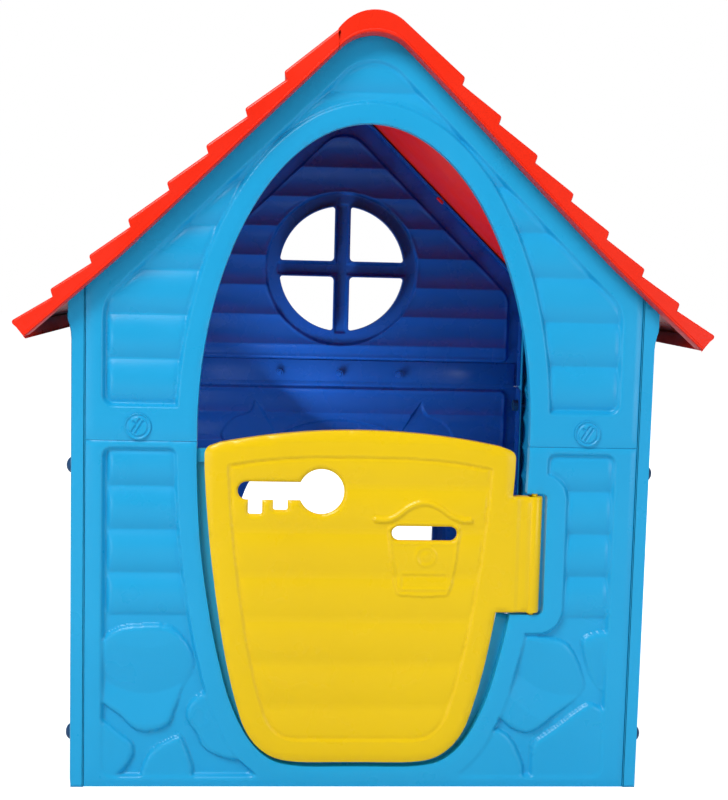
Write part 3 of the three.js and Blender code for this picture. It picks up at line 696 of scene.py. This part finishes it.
def front_upper():
    base = SPLIT_Z + GAP
    outline = gable_line(PANEL_HALF, base)
    half = ARCH["half"]
    loop = np.vstack([
        outline[:1], [(-half, base)], doorway_arch(), [(half, base)], outline[1:],
    ])
    bm = bmesh.new()
    relief_sheet(bm, [loop], front_upper_height, at_front, upper_turned_in)
    finish_piece(bm, "front_upper_shell", "wall_blue", "front_upper_panel")


def crawl_outline():
    half, sill = CRAWL["half"], CRAWL["sill"]
    arch = arc(0, CRAWL["spring"], half, CRAWL["top"] - CRAWL["spring"], 0, 180, 60)
    return np.vstack([[(-half, sill), (half, sill)], arch])


# A plain leaf shape moulded on each side of the crawl-through.
LEAF = [(134, 350), (132, 385), (150, 415), (176, 455), (184, 425), (222, 408), (246, 375), (232, 350)]
LEAF_RISE = 9
LEAF_VEIN = {"half": 4, "deep": 3}


def back_lower_height(points):
    frame_edge = -depth_in(points, crawl_outline(), 420) - CRAWL["ring"]
    side = 355 - np.abs(points[:, 0])
    ends = np.minimum(points[:, 1] - 12, 476 - points[:, 1])
    recess = rounded_min(rounded_min(side, ends, 15), frame_edge, 12)
    laid = planks(points, recess - 3, LOW_PLANKS, PLANK_PITCH) * ramp(points[:, 1] - PLINTH_TOP, 8)
    leaf = np.zeros(len(points))
    half = LEAF_VEIN["half"]
    for side in (-1, 1):
        outline = np.array(LEAF) * [side, 1]
        loop = smooth_path(outline, 40, closed=True)
        vein = cushion(half - line_distance(points, outline[1:4]), half)
        mound = cushion(depth_in(points, loop, 20), 6) * LEAF_RISE
        leaf = np.maximum(leaf, mound - LEAF_VEIN["deep"] * vein)
    floor = np.maximum(PLANK_RISE * laid, leaf) + stones(points, STONES_LEFT + STONES_RIGHT)
    return (floor - RECESS_DEPTH) * ramp(recess, RECESS_FALL)


def back_lower():
    top = SPLIT_Z - GAP
    loop = rectangle(-PANEL_HALF, PANEL_HALF, 0, top)
    bm = bmesh.new()
    relief_sheet(bm, [loop, crawl_outline()[::-1]], back_lower_height, at_back, lower_turned_in)
    half = PANEL_HALF - 8
    slab(bm, (-half, WALL_Y - 5.3, SPLIT_Z - 6), (half, WALL_Y - 2.8, SPLIT_Z + 48))
    finish_piece(bm, "back_lower_shell", "back_blue", "back_lower_panel")


def pane(side, level):
    """A quarter of the round window, with its corners rounded; the material is on its left."""
    r, bar = WINDOW["r"], WINDOW["bar"]
    far = math.sqrt(r * r - bar * bar)
    start = math.degrees(math.atan2(bar, far))
    curve = arc(0, 0, r, r, start, 90 - start, 24)
    corners = rounded(np.vstack([[(bar, bar)], curve]), [8, 5] + [0] * (len(curve) - 2) + [5])
    corners = corners * [side, level] + [0, WINDOW["z"]]
    return corners[::-1] if side * level > 0 else corners


def back_upper_height(points):
    rel = points - [0, WINDOW["z"]]
    r = np.hypot(rel[:, 0], rel[:, 1])
    ring = WINDOW["r"] + WINDOW["ring"]
    side = 355 - np.abs(points[:, 0])
    under = gable_depth(points)
    recess = rounded_min(rounded_min(side, under, 16), points[:, 1] - 534, 10)
    recess = np.minimum(recess, r - ring)
    laid = planks(points, recess - 2, 564, 61)
    wall = (PLANK_RISE * laid - RECESS_DEPTH) * ramp(recess, RECESS_FALL)
    bar = np.minimum(np.abs(rel[:, 0]), np.abs(rel[:, 1]))
    channel = 4 * ramp(WINDOW["bar"] - 3 - bar, 5) * ramp(WINDOW["r"] + 6 - r, 5)
    return wall + channel


def back_upper():
    bm = bmesh.new()
    loops = [gable_line(PANEL_HALF, SPLIT_Z + GAP)]
    loops += [pane(side, level) for side in (-1, 1) for level in (-1, 1)]
    relief_sheet(bm, loops, back_upper_height, at_back, upper_turned_in)
    finish_piece(bm, "back_upper_shell", "back_blue", "back_upper_panel")


# ---- side walls ----


def side_turned_in(rim):
    back = np.full(len(rim), float(SIDE_WINDOW["depth"]))
    corner = np.abs(rim[:, 0]) > WALL_Y - 0.1
    back[corner] = CORNER_STRIP
    back[(rim[:, 1] < 0.1) & ~corner] = FOOT_DEPTH - 3
    back[(rim[:, 1] > SIDE_TOP - 1) & ~corner] = 4
    lift = np.where(corner & (rim[:, 1] > SIDE_TOP - 1), CORNER_STRIP * SLOPE, 0.0)
    return back, lift


def side_height(points):
    w = SIDE_WINDOW
    outline = rectangle(-w["half"], w["half"], w["z"] - w["high"], w["z"] + w["high"], w["corner"])
    window = -depth_in(points, outline, 420)
    side = 400 - np.abs(points[:, 0])
    ends = np.minimum(points[:, 1] - 12, 615 - points[:, 1])
    recess = np.minimum(rounded_min(side, ends, 18), window - w["ring"])
    laid = planks(points, recess - 3, LOW_PLANKS, PLANK_PITCH) * ramp(points[:, 1] - PLINTH_TOP, 8)
    near = [[(a * s + t, b) for a, b in outline] for outline in STONES_LEFT + STONES_RIGHT for s, t in
            ((0.55, -206), (-0.55, 206))]
    floor = PLANK_RISE * laid + stones(points, near)
    wall = (floor - RECESS_DEPTH) * ramp(recess, RECESS_FALL)
    rel = np.abs(points - [0, w["z"]])
    bar = np.minimum(rel[:, 0], rel[:, 1])
    channel = 3 * ramp(WINDOW["bar"] - 3 - bar, 5) * ramp(-window + 4, 5)
    ledge = 4.8 * ramp(points[:, 1] - 626, 26)
    return wall + channel + ledge


def side_pane(side, level):
    w = SIDE_WINDOW
    bar = WINDOW["bar"]
    corners = [(bar, bar), (w["half"], bar), (w["half"], w["high"]), (bar, w["high"])]
    loop = rounded(corners, [8, 8, w["corner"], 8]) * [side, level] + [0, w["z"]]
    return loop[::-1] if side * level > 0 else loop


def side_wall(name, side):
    def place(u, z, w):
        return np.stack([side * (WALL_X + w), side * u, z], 1)

    bm = bmesh.new()
    loops = [rectangle(-WALL_Y, WALL_Y, 0, SIDE_TOP)]
    loops += [side_pane(s, level) for s in (-1, 1) for level in (-1, 1)]
    relief_sheet(bm, loops, side_height, place, side_turned_in, fine=2.4)
    inner = WALL_X - CORNER_STRIP
    for end in (-1, 1):
        a, b = sorted([end * WALL_Y, end * (WALL_Y - RETURN_DEPTH)])
        x = sorted([side * inner, side * (inner + SHEET)])
        slab(bm, (x[0], a, 0), (x[1], b, SIDE_TOP + 15))
    finish_piece(bm, name + "_shell", "wall_blue", name)


# ---- roof ----

COURSES = 8
FIRST_TIP = 119
TIP_PITCH = (ROOF_HALF_WIDTH - FIRST_TIP) / (COURSES - 1)
TIP_LINE = 1093
STEP = np.array([-3.2, -9.8])
FLARE = {"rise": 11.5, "start": 330}
FASCIA_LINE = 1056
FASCIA_R = 64
CAP = {"r": 58, "start": 145, "end": 49.4}
EAVE_DROP = np.array([-16.7, -21])
TILE_WIDTH = 100
UNDERSIDE = {"below": 19, "eave": 8.3, "taper": 0.243, "back": 3.5}


def tip(i):
    x = FIRST_TIP + TIP_PITCH * i
    flare = FLARE["rise"] * max(0, (x - FLARE["start"]) / (ROOF_HALF_WIDTH - FLARE["start"])) ** 2
    return np.array([x, TIP_LINE - SLOPE * x + flare])


def fascia_point(x):
    """A point on the fascia's lower edge."""
    eave = tip(COURSES - 1) + EAVE_DROP
    x = min(x, eave[0])
    centre = FASCIA_LINE - FASCIA_R / math.cos(LEAN)
    if x < FASCIA_R * math.sin(LEAN):
        return np.array([x, centre + math.sqrt(FASCIA_R**2 - x * x)])
    knee = FASCIA_LINE - SLOPE * FLARE["start"]
    if x <= FLARE["start"]:
        return np.array([x, FASCIA_LINE - SLOPE * x])
    t = min((x - FLARE["start"]) / (eave[0] - FLARE["start"]), 1)
    return np.array([x, knee + t * (eave[1] - knee)])


def underside(x):
    """A point on the smooth underside below the tiles."""
    eave = tip(COURSES - 1)[0]
    flare = FLARE["rise"] * max(0, (x - FLARE["start"]) / (eave - FLARE["start"])) ** 2
    below = min(UNDERSIDE["below"], UNDERSIDE["eave"] + UNDERSIDE["taper"] * (eave - x))
    x = x - UNDERSIDE["back"]
    return np.array([x, TIP_LINE - SLOPE * x + flare - below])


def roof_profile(start):
    """Rows down the slope: outside point and course number."""
    rows = []
    corner = 3.0
    for i in range(COURSES):
        here = tip(i)
        if i == 0:
            above = start
        else:
            above = tip(i - 1) + STEP
        fall = (here - above) / np.linalg.norm(here - above)
        length = np.linalg.norm(here - above)
        for s in (0.12, 0.35, 0.6, 0.8, 0.92):
            rows.append((above + fall * length * s, i))
        down = STEP / np.linalg.norm(STEP)
        for t in (0, 0.3, 0.6, 1):
            a = here - fall * corner * (1 - t)
            b = here + down * corner * t
            rows.append(((a * (1 - t) + b * t), i))
        if i < COURSES - 1:
            rows.append((here + STEP * 0.7, i + 0.5))
            rows.append((here + STEP, i + 0.5))
    return rows


def roof_rows(side):
    """Outside point, inside point, fascia's lower point and course number, from the ridge to the eave."""
    if side > 0:
        centre = RIDGE_TOP - CAP["r"]
        cap = arc(0, centre, CAP["r"], CAP["r"], CAP["start"], CAP["end"], 28)
        inside = arc(0, centre, CAP["r"] - SHEET, CAP["r"] - SHEET, CAP["start"], CAP["end"], 28)
        rows = [(p, q, p[0], -1) for p, q in zip(cap, inside)]
    else:
        rows = [(np.array([48.2, 1033.8]), np.array([48.2, 1031.3]), 48.2, 0)]
    start = rows[-1][0]
    profile = roof_profile(start)
    reach = np.maximum.accumulate([p[0] for p, _ in profile])
    rows += [(p, underside(x), max(p[0] - 10.5, start[0]), course) for (p, course), x in zip(profile, reach)]
    last = tip(COURSES - 1)
    for t in (0.3, 0.65, 0.97, 1):
        rows.append((last + EAVE_DROP * t, last + EAVE_DROP * t + [-2.4, 1.6], ROOF_HALF_WIDTH, COURSES))
    furthest = np.maximum.accumulate([r[2] for r in rows])
    return [(p, q, fascia_point(x), course) for (p, q, _, course), x in zip(rows, furthest)]


def roof_section(row, ys, drops):
    """One closed line across the roof: bead, fascia, tiles, fascia, bead, soffit, inside and soffit."""
    p, q, low, course = row
    deep, edge, gable = ROOF_HALF_DEPTH, ROOF_HALF_DEPTH - SHEET, WALL_Y + GAP
    bead = [(5.2, 0), (4.6, 1.1), (3.2, 1.9), (1.6, 1.9), (0.3, 1.0), (-0.3, -1.0)]
    down_slope = np.array([SLOPE, 1]) / math.hypot(SLOPE, 1)
    line = [(low[0], -deep - out, low[1] + up) for up, out in bead[::-1]]
    for y, drop in zip(ys, drops):
        x, z = p - down_slope * (drop + tile_dip(y, course))
        line.append((x, y, z))
    line += [(low[0], deep + out, low[1] + up) for up, out in bead]
    lip = SHEET / math.cos(LEAN)
    line += [(low[0], gable, low[1]), (low[0], gable, low[1] + lip), (low[0], edge, low[1] + lip)]
    line += [(q[0], y, q[1]) for y in [edge] + [y for y in ys[::-3] if abs(y) < edge - 1] + [-edge]]
    line += [(low[0], -edge, low[1] + lip), (low[0], -gable, low[1] + lip), (low[0], -gable, low[1])]
    return line


def roof_half(name, side):
    deep, roll = ROOF_HALF_DEPTH, 3.0
    ends = np.radians([0, 30, 60, 90])
    near = [-deep + roll * (1 - math.cos(a)) for a in ends]
    drops = [roll * (1 - math.sin(a)) for a in ends]
    joints = np.arange(-deep + TILE_WIDTH / 2, deep, TILE_WIDTH / 2)
    middle = sorted({round(float(j + off), 3) for j in joints for off in (-18, -4, -1.6, 0, 1.6, 4)})
    middle = [y for y in middle if abs(y) < deep - roll - 1]
    ys = near + middle + [-y for y in near[::-1]]
    drops = drops + [0.0] * len(middle) + drops[::-1]
    rows = roof_rows(side)
    grid = [roof_section(row, ys, drops) for row in rows]
    count = len(grid[0])
    points = np.array(grid).reshape(-1, 3) * [side, 1, 1]
    faces = []
    for r in range(len(grid) - 1):
        for c in range(count):
            a, b = r * count + c, r * count + (c + 1) % count
            faces.append([a, b, b + count, a + count])
    faces += [list(range(count))[::-1], [(len(grid) - 1) * count + c for c in range(count)]]
    made = bmesh.new()
    new_faces(made, points, faces)
    bmesh.ops.triangulate(made, faces=[f for f in made.faces if len(f.verts) > 4])
    bmesh.ops.remove_doubles(made, verts=made.verts[:], dist=0.02 * MM)
    bmesh.ops.dissolve_degenerate(made, edges=made.edges[:], dist=0.01 * MM)
    bm = bmesh.new()
    add_bmesh(bm, made)
    if side < 0:
        tongue_under_cap(bm)
    bosses(bm, side)
    bm.normal_update()
    for face in bm.faces:
        if abs(face.normal.y) > FLAT:
            for edge in face.edges:
                edge.smooth = False
    finish_piece(bm, name + "_shell", "roof_red", name)


def tile_dip(y, course):
    """Grooves between the tiles of a course, shifted by half a tile from course to course."""
    if course < 0 or course > COURSES - 0.9 or abs(y) > ROOF_HALF_DEPTH - 12:
        return 0.0
    shift = TILE_WIDTH / 2 * (math.floor(course + 0.5) % 2)
    off = (y - shift + TILE_WIDTH / 2) % TILE_WIDTH - TILE_WIDTH / 2
    return 1.6 * max(0.0, 1 - (abs(off) / 3.2) ** 2)


def tongue_under_cap(bm):
    """The left half's edge, which runs up under the ridge cap."""
    centre = RIDGE_TOP - CAP["r"]
    outer = arc(0, centre, 54.3, 54.3, 98, 143, 14)
    outer = np.vstack([outer, [(-49.5, 1031.6)]])
    inner = outer * 1.0
    inner[:, 1] -= 2.4
    deep = ROOF_HALF_DEPTH - SHEET - GAP - 0.4
    points = []
    for p, q in zip(outer, inner):
        points += [(p[0], -deep, p[1]), (p[0], deep, p[1]), (q[0], deep, q[1]), (q[0], -deep, q[1])]
    faces = []
    for k in range(len(outer) - 1):
        a = 4 * k
        faces += [[a + s, a + (s + 1) % 4, a + 4 + (s + 1) % 4, a + 4 + s] for s in range(4)]
    end = 4 * (len(outer) - 1)
    faces += [[3, 2, 1, 0], [end, end + 1, end + 2, end + 3]]
    made = bmesh.new()
    new_faces(made, points, faces)
    add_bmesh(bm, made)


def bosses(bm, side):
    for end in (-1, 1):
        x = 203
        origin = (side * x, end * 408, GABLE_LINE - SLOPE * x)
        axis = (side * math.sin(LEAN), 0, math.cos(LEAN))
        profile = [(0, 0.6), (7.4, 0.6), (8, 1.2), (8, 12), (0, 12)]
        turned(bm, profile, origin, axis, 24)


# ---- door ----


def door_top(side, steps):
    """The door's arched upper edge, from right to left."""
    r = DOOR["top_r"]
    reach = math.degrees(math.asin(side[0, 0] / r))
    return arc(0, DOOR["top"] - r, r, r, 90 - reach, 90 + reach, steps)


def door_outline():
    """The door with its hinge tab; the material is on its left."""
    side = smooth_path(DOOR_SIDE, 60)
    side[-1, 0] = 0
    top = door_top(side, 40)
    left = side * [-1, 1]
    right = side[::-1]
    low, high = TAB["low"], TAB["high"]
    hinge = HINGE["x"] - DOOR["centre"]
    below = right[right[:, 1] < low - 2]
    above = right[right[:, 1] > high + 2]
    tab = [(height_at(side, low), low), (hinge, low), (hinge, high), (height_at(side, high), high)]
    upper_right = corner_points(above[-2], side[0], top[1], DOOR["corner"])
    upper_left = corner_points(top[-2], left[0], left[1], DOOR["corner"])
    whole = np.vstack([left[2:-1], below, tab, above[:-2], upper_right, top[2:-2], upper_left])
    return whole + [DOOR["centre"], 0]


def corner_points(before, corner, after, r):
    """A rounded corner between two neighbouring points."""
    before, corner, after = (np.array(p, float) for p in (before, corner, after))
    a = corner + (before - corner) / np.linalg.norm(before - corner) * r
    b = corner + (after - corner) / np.linalg.norm(after - corner) * r
    t = np.linspace(0, 1, 7)[:, None]
    return (1 - t) ** 2 * a + 2 * t * (1 - t) * corner + t**2 * b


def door_body():
    """The door's outline without the tab."""
    side = smooth_path(DOOR_SIDE, 60)
    outline = np.vstack([side[::-1][1:], door_top(side, 20)[1:-1], side * [-1, 1]])
    return outline + [DOOR["centre"], 0]


DOOR_BODY = door_body()
LETTER_SLOT = rectangle(
    SLOT["left"] - SLOT["half"], SLOT["right"] + SLOT["half"],
    SLOT["z"] - SLOT["half"], SLOT["z"] + SLOT["half"], SLOT["half"] - 0.1,
)
MAILBOX = [
    (32, 374), (37, 327), (42.5, 293), (49, 274), (85, 271.6),
    (121, 274), (127, 290), (132.5, 327), (136, 374),
]
AWNING = [
    (18, 381), (35, 381), (48, 387), (64, 399), (83, 405),
    (103, 400), (119, 389), (133, 382.5), (148, 381),
]
AWNING_BEAD = {"base": 3.0, "rise": 5.0, "width": 9}
EMBLEM = {"u": 88, "z": 330.6, "r": 13, "disc": 6}
PLATE = (53.5, 119, 284.5, 306)
DOOR_PANEL = {"rim": 30, "sunk": 3.6, "rise": 2.4, "first": 114 - PLANK_PITCH, "pitch": 62}


def stroke(points, line, width):
    """A rounded bead along a line."""
    return cushion(width / 2 - line_distance(points, line, closed=False), width / 2)


def door_height(points):
    rim, sunk = DOOR_PANEL["rim"], DOOR_PANEL["sunk"]
    panel = rounded_min(depth_in(points, DOOR_BODY, 60) - rim, 470 - points[:, 1], 10)
    laid = planks(points, panel - 3, DOOR_PANEL["first"], DOOR_PANEL["pitch"], 6)
    out = (DOOR_PANEL["rise"] * laid - sunk) * ramp(panel, 4)
    box = depth_in(points, rounded(MAILBOX, 5), 20)
    out = out + 2.4 * ramp(box, 3) - 1.0 * ramp(box - 4, 2)
    bead = AWNING_BEAD
    awning = stroke(points, smooth_path(AWNING, 40), bead["width"])
    out = np.maximum(out, bead["rise"] * awning - bead["base"])
    ring = np.hypot(points[:, 0] - EMBLEM["u"], points[:, 1] - EMBLEM["z"])
    out = out + 1.1 * cushion(2.2 - np.abs(ring - EMBLEM["r"]), 2.2)
    out = out + 0.8 * cushion(EMBLEM["disc"] - ring, 4)
    plate = depth_in(points, rectangle(*PLATE, 3), 10)
    out = out + 0.9 * cushion(1.6 - np.abs(plate), 1.6)
    lip = -depth_in(points, LETTER_SLOT, 20)
    out = out + 0.8 * cushion(3 - np.abs(lip - 3), 3)
    beside = (points[:, 1] > TAB["low"] - 2) & (points[:, 1] < TAB["high"] + 2)
    tab = np.maximum(points[:, 0] - TAB["start"], 0) * beside
    return out - TAB["sunk"] * ramp(tab, 6)


def key_outline():
    """The key-shaped hole; the material is on its left."""
    half, bow = KEY["half"], KEY["bow"]
    start = math.degrees(math.asin(half / bow))
    round_bow = arc(KEY["x"], KEY["z"], bow, bow, 180 - start, -180 + start, 40)
    (a, b, low1), (c, d, low2) = KEY_TEETH
    base = KEY["z"] - half
    edge = rounded(
        [(d, base), (d, low2), (c, low2), (c, base), (b, base), (b, low1), (a, low1), (a, base)],
        [0, 3, 3, 1, 1, 3, 3, 1],
    )
    tail = arc(KEY["end"], KEY["z"], half, half, 270, 90, 16)
    return np.vstack([round_bow, edge[:-1], tail[1:]])


def at_door(u, z, w):
    return np.stack([u, DOOR["front"] - w, z], 1)


def rod(r, low, high, edge):
    """The profile of an upright rod with its ends rounded over."""
    return [(0, low), (r - edge, low), (r, low + edge), (r, high - edge), (r - edge, high), (0, high)]


def door():
    def turned_in(rim):
        back = np.full(len(rim), float(DOOR["depth"]))
        hole = (depth_in(rim, DOOR_BODY, 60) > 25) & (rim[:, 0] < 200)
        back[hole] = DOOR["hole"]
        return back, np.zeros(len(rim))

    bm = bmesh.new()
    loops = [door_outline(), key_outline(), LETTER_SLOT[::-1]]
    relief_sheet(bm, loops, door_height, at_door, turned_in, roll=DOOR["roll"])
    low, high, r = TAB["low"], TAB["high"], HINGE["barrel"]
    barrel = [(0, low), (r - 1.5, low), (r - 0.4, low + 0.4), (r, low + 1.5)]
    barrel += [(r, high - 1.5), (r - 0.4, high - 0.4), (r - 1.5, high), (0, high)]
    foot = (HINGE["x"], HINGE["y"], 0)
    turned(bm, barrel, foot, (0, 0, 1), 56)
    reach = HINGE["pin_length"]
    for a, b in ((NOTCH["low"] - reach, low + 1), (high - 1, NOTCH["high"] + reach)):
        turned(bm, rod(HINGE["pin"], a, b, 0.8), foot, (0, 0, 1), 32)
    finish_piece(bm, "door_shell", "door_yellow", "door", body="door")


# ---- bolts and nuts ----
BELT_Z = SPLIT_Z + 20
FRONT_SCREW = {"x": 307, "r": 18}
BACK_BOLT_X = {"left": -125, "middle": 0, "right": 125}
CORNER_BOLT_Z = {"low": 70, "high": 446}
CORNER_BOLT_Y = 400


def domed_head(r, height):
    curve = arc(0, 1.2, r, height - 1.2, 0, 90, 8)
    return [(r - 0.7, 0), (r, 0.7)] + [(float(u), float(z)) for u, z in curve[:-1]] + [(0, height)]


def shank(end):
    """The profile of a bolt's end, with its edge taken off."""
    return [(0, end), (4.2, end), (5, end + 0.8)]


def corner_bolt(name, side, end, z):
    bm = bmesh.new()
    origin = (side * (WALL_X + GAP), end * CORNER_BOLT_Y, z)
    profile = shank(-33.7) + [(5, 0)] + domed_head(11, 9)
    turned(bm, profile, origin, (side, 0, 0), 44)
    # The heads get bolt_blue, whose dark navy is painted shade.
    finish_piece(bm, name + "_turned", "bolt_blue", name)


def screw_head_height(points):
    """A ring, a shallow dish and a slot cut askew."""
    r = np.hypot(points[:, 0], points[:, 1])
    angle = math.radians(58)
    across = points[:, 0] * math.sin(angle) - points[:, 1] * math.cos(angle)
    along = points[:, 0] * math.cos(angle) + points[:, 1] * math.sin(angle)
    dish = -1.7 * cushion(2.0 - np.abs(r - 14.4), 2.0)
    near, far = (cushion(1.6 - np.abs(across - off), 1.6) for off in (-2.8, 2.8))
    slots = (near + far) * ramp(11.5 - np.abs(along), 2)
    cross = cushion(1.5 - np.abs(along - 2), 1.5) * ramp(9.5 - np.abs(across + 1), 2) * (across < -2)
    return 2.2 + dish - 2.0 * np.maximum(slots, cross)


def front_screw(name, x):
    bm = bmesh.new()
    loop = arc(0, 0, FRONT_SCREW["r"], FRONT_SCREW["r"], 0, 360, 64)[:-1]

    def place(u, z, w):
        return np.stack([x + u, -WALL_Y - GAP - w, BELT_Z + z], 1)

    def turned_in(rim):
        return np.zeros(len(rim)), np.zeros(len(rim))

    relief_sheet(bm, [loop], screw_head_height, place, turned_in, fine=0.7, thick=0.3, roll=1.2)
    turned(bm, shank(-17.5) + [(5, 0.2), (0, 0.2)], (x, -WALL_Y - GAP, BELT_Z), (0, -1, 0), 32)
    finish_piece(bm, name + "_turned", "wall_blue", name)


def back_bolt(name, x):
    bm = bmesh.new()
    profile = shank(-17.5) + [(5, 0)] + domed_head(11, 3)
    turned(bm, profile, (x, WALL_Y + GAP, BELT_Z), (0, 1, 0), 44)
    finish_piece(bm, name + "_turned", "back_blue", name)


def all_bolts():
    for side_name, side in (("left", -1), ("right", 1)):
        for end_name, end in (("front", -1), ("back", 1)):
            for level, z in CORNER_BOLT_Z.items():
                corner_bolt(f"bolt_{side_name}_{end_name}_{level}", side, end, z)
    front_screw("bolt_front_split_left", -FRONT_SCREW["x"])
    front_screw("bolt_front_split_right", FRONT_SCREW["x"])
    for label, x in BACK_BOLT_X.items():
        back_bolt(f"bolt_back_split_{label}", x)


def paint_cad_nodes():
    """The nuts and roof bolts keep their CAD shapes and get moulded plastic."""
    for part in frame["record"]["subparts"]:
        materials = frame["nodes"][part["node"]].data.materials
        materials.clear()
        materials.append(PLASTICS[part["material_slot"]])


# ---- stage, light and camera ----


def stage():
    floor = bpy.data.meshes.new("floor")
    bm = bmesh.new()
    bmesh.ops.create_grid(bm, x_segments=1, y_segments=1, size=14)
    bm.to_mesh(floor)
    bm.free()
    obj = bpy.data.objects.new("floor", floor)
    bpy.context.scene.collection.objects.link(obj)
    material = bpy.data.materials.new("floor_paper")
    material.use_nodes = True
    shader = material.node_tree.nodes["Principled BSDF"]
    shader.inputs["Base Color"].default_value = (0.7, 0.7, 0.7, 1)
    shader.inputs["Roughness"].default_value = 0.9
    shader.inputs["Emission Color"].default_value = (1, 1, 1, 1)
    seen_only(material, shader.inputs["Emission Strength"], 0.0, 0.82)
    floor.materials.append(material)
    studio()


def seen_only(holder, socket, unseen, seen):
    """One strength for what the camera sees directly, another for the light that falls on the house."""
    nodes, links = holder.node_tree.nodes, holder.node_tree.links
    path = nodes.new("ShaderNodeLightPath")
    strength = nodes.new("ShaderNodeMapRange")
    strength.inputs["To Min"].default_value = unseen
    strength.inputs["To Max"].default_value = seen
    links.new(path.outputs["Is Camera Ray"], strength.inputs["Value"])
    links.new(strength.outputs["Result"], socket)


def studio():
    """A white room that lights the house softly."""
    world = bpy.data.worlds.new("studio")
    bpy.context.scene.world = world
    world.use_nodes = True
    background = world.node_tree.nodes["Background"]
    background.inputs["Color"].default_value = (1, 1, 1, 1)
    seen_only(world, background.inputs["Strength"], 0.29, 1.0)


WARM = (1.0, 0.98, 0.94)
COOL = (0.84, 0.92, 1.0)
WHITE = (1.0, 1.0, 1.0)
# Name, place, target, width and height, watts, tint, and whether it shows in the picture and in gloss.
LAMPS = [
    ("key", (-1.6, -2.5, 3.2), (0, -0.2, 0.5), (1.4, 1.4), 112, WARM, True),
    ("fill", (2.6, -3.0, 1.5), (0, 0, 0.5), (2.0, 2.0), 18, COOL, True),
    ("top", (0, 0.4, 3.6), (0, 0, 0.5), (3.0, 3.0), 44, COOL, True),
    ("low_left", (-1.9, -2.3, 0.35), (0, 0, 0.8), (1.2, 0.5), 8, COOL, True),
    ("low_right", (1.9, -2.3, 0.35), (0, 0, 0.8), (1.2, 0.5), 9, COOL, True),
    ("rear", (2.6, 2.4, 2.0), (0, 0, 0.5), (1.8, 1.8), 42, COOL, True),
    ("inside", (-0.33, 0.0, 0.4), (-0.1, 0.42, 0.47), (0.12, 0.3), 0.8, WHITE, False),
    ("loft", (-0.15, 0.25, 0.35), (0.3, -0.2, 0.9), (0.2, 0.2), 2.2, WHITE, False),
]


def softbox(name, place, target, size, power, tint, seen):
    light = bpy.data.lights.new(name, "AREA")
    light.shape = "RECTANGLE"
    light.size, light.size_y = size
    light.energy = power
    light.color = tint
    obj = bpy.data.objects.new(name, light)
    bpy.context.scene.collection.objects.link(obj)
    obj.location = place
    obj.rotation_euler = (Vector(target) - Vector(place)).to_track_quat("-Z", "Y").to_euler()
    obj.visible_camera = seen
    obj.visible_glossy = seen


def camera():
    yaw, pitch, roll = 0.0534549788, -0.0839242093, 0.0242534357
    forward = Vector((math.sin(yaw) * math.cos(pitch), math.cos(yaw) * math.cos(pitch), math.sin(pitch)))
    level = Vector((math.cos(yaw), -math.sin(yaw), 0))
    upright = level.cross(forward)
    right = level * math.cos(roll) + upright * math.sin(roll)
    up = upright * math.cos(roll) - level * math.sin(roll)
    data = bpy.data.cameras.new("camera")
    data.lens = 51.73
    data.sensor_width = 36
    data.shift_x = 0.01714
    data.shift_y = -0.04169
    obj = bpy.data.objects.new("camera", data)
    bpy.context.scene.collection.objects.link(obj)
    turn = Matrix((right, up, -forward)).transposed().to_4x4()
    obj.matrix_world = Matrix.Translation((-0.10512, -1.97532, 0.7208)) @ turn
    bpy.context.scene.camera = obj


front_lower()
front_upper()
back_lower()
back_upper()
side_wall("right_wall", 1)
side_wall("left_wall", -1)
roof_half("roof_right", 1)
roof_half("roof_left", -1)
door()
all_bolts()
paint_cad_nodes()
stage()
for lamp in LAMPS:
    softbox(*lamp)
camera()
bpy.context.scene.view_settings.view_transform = "Standard"
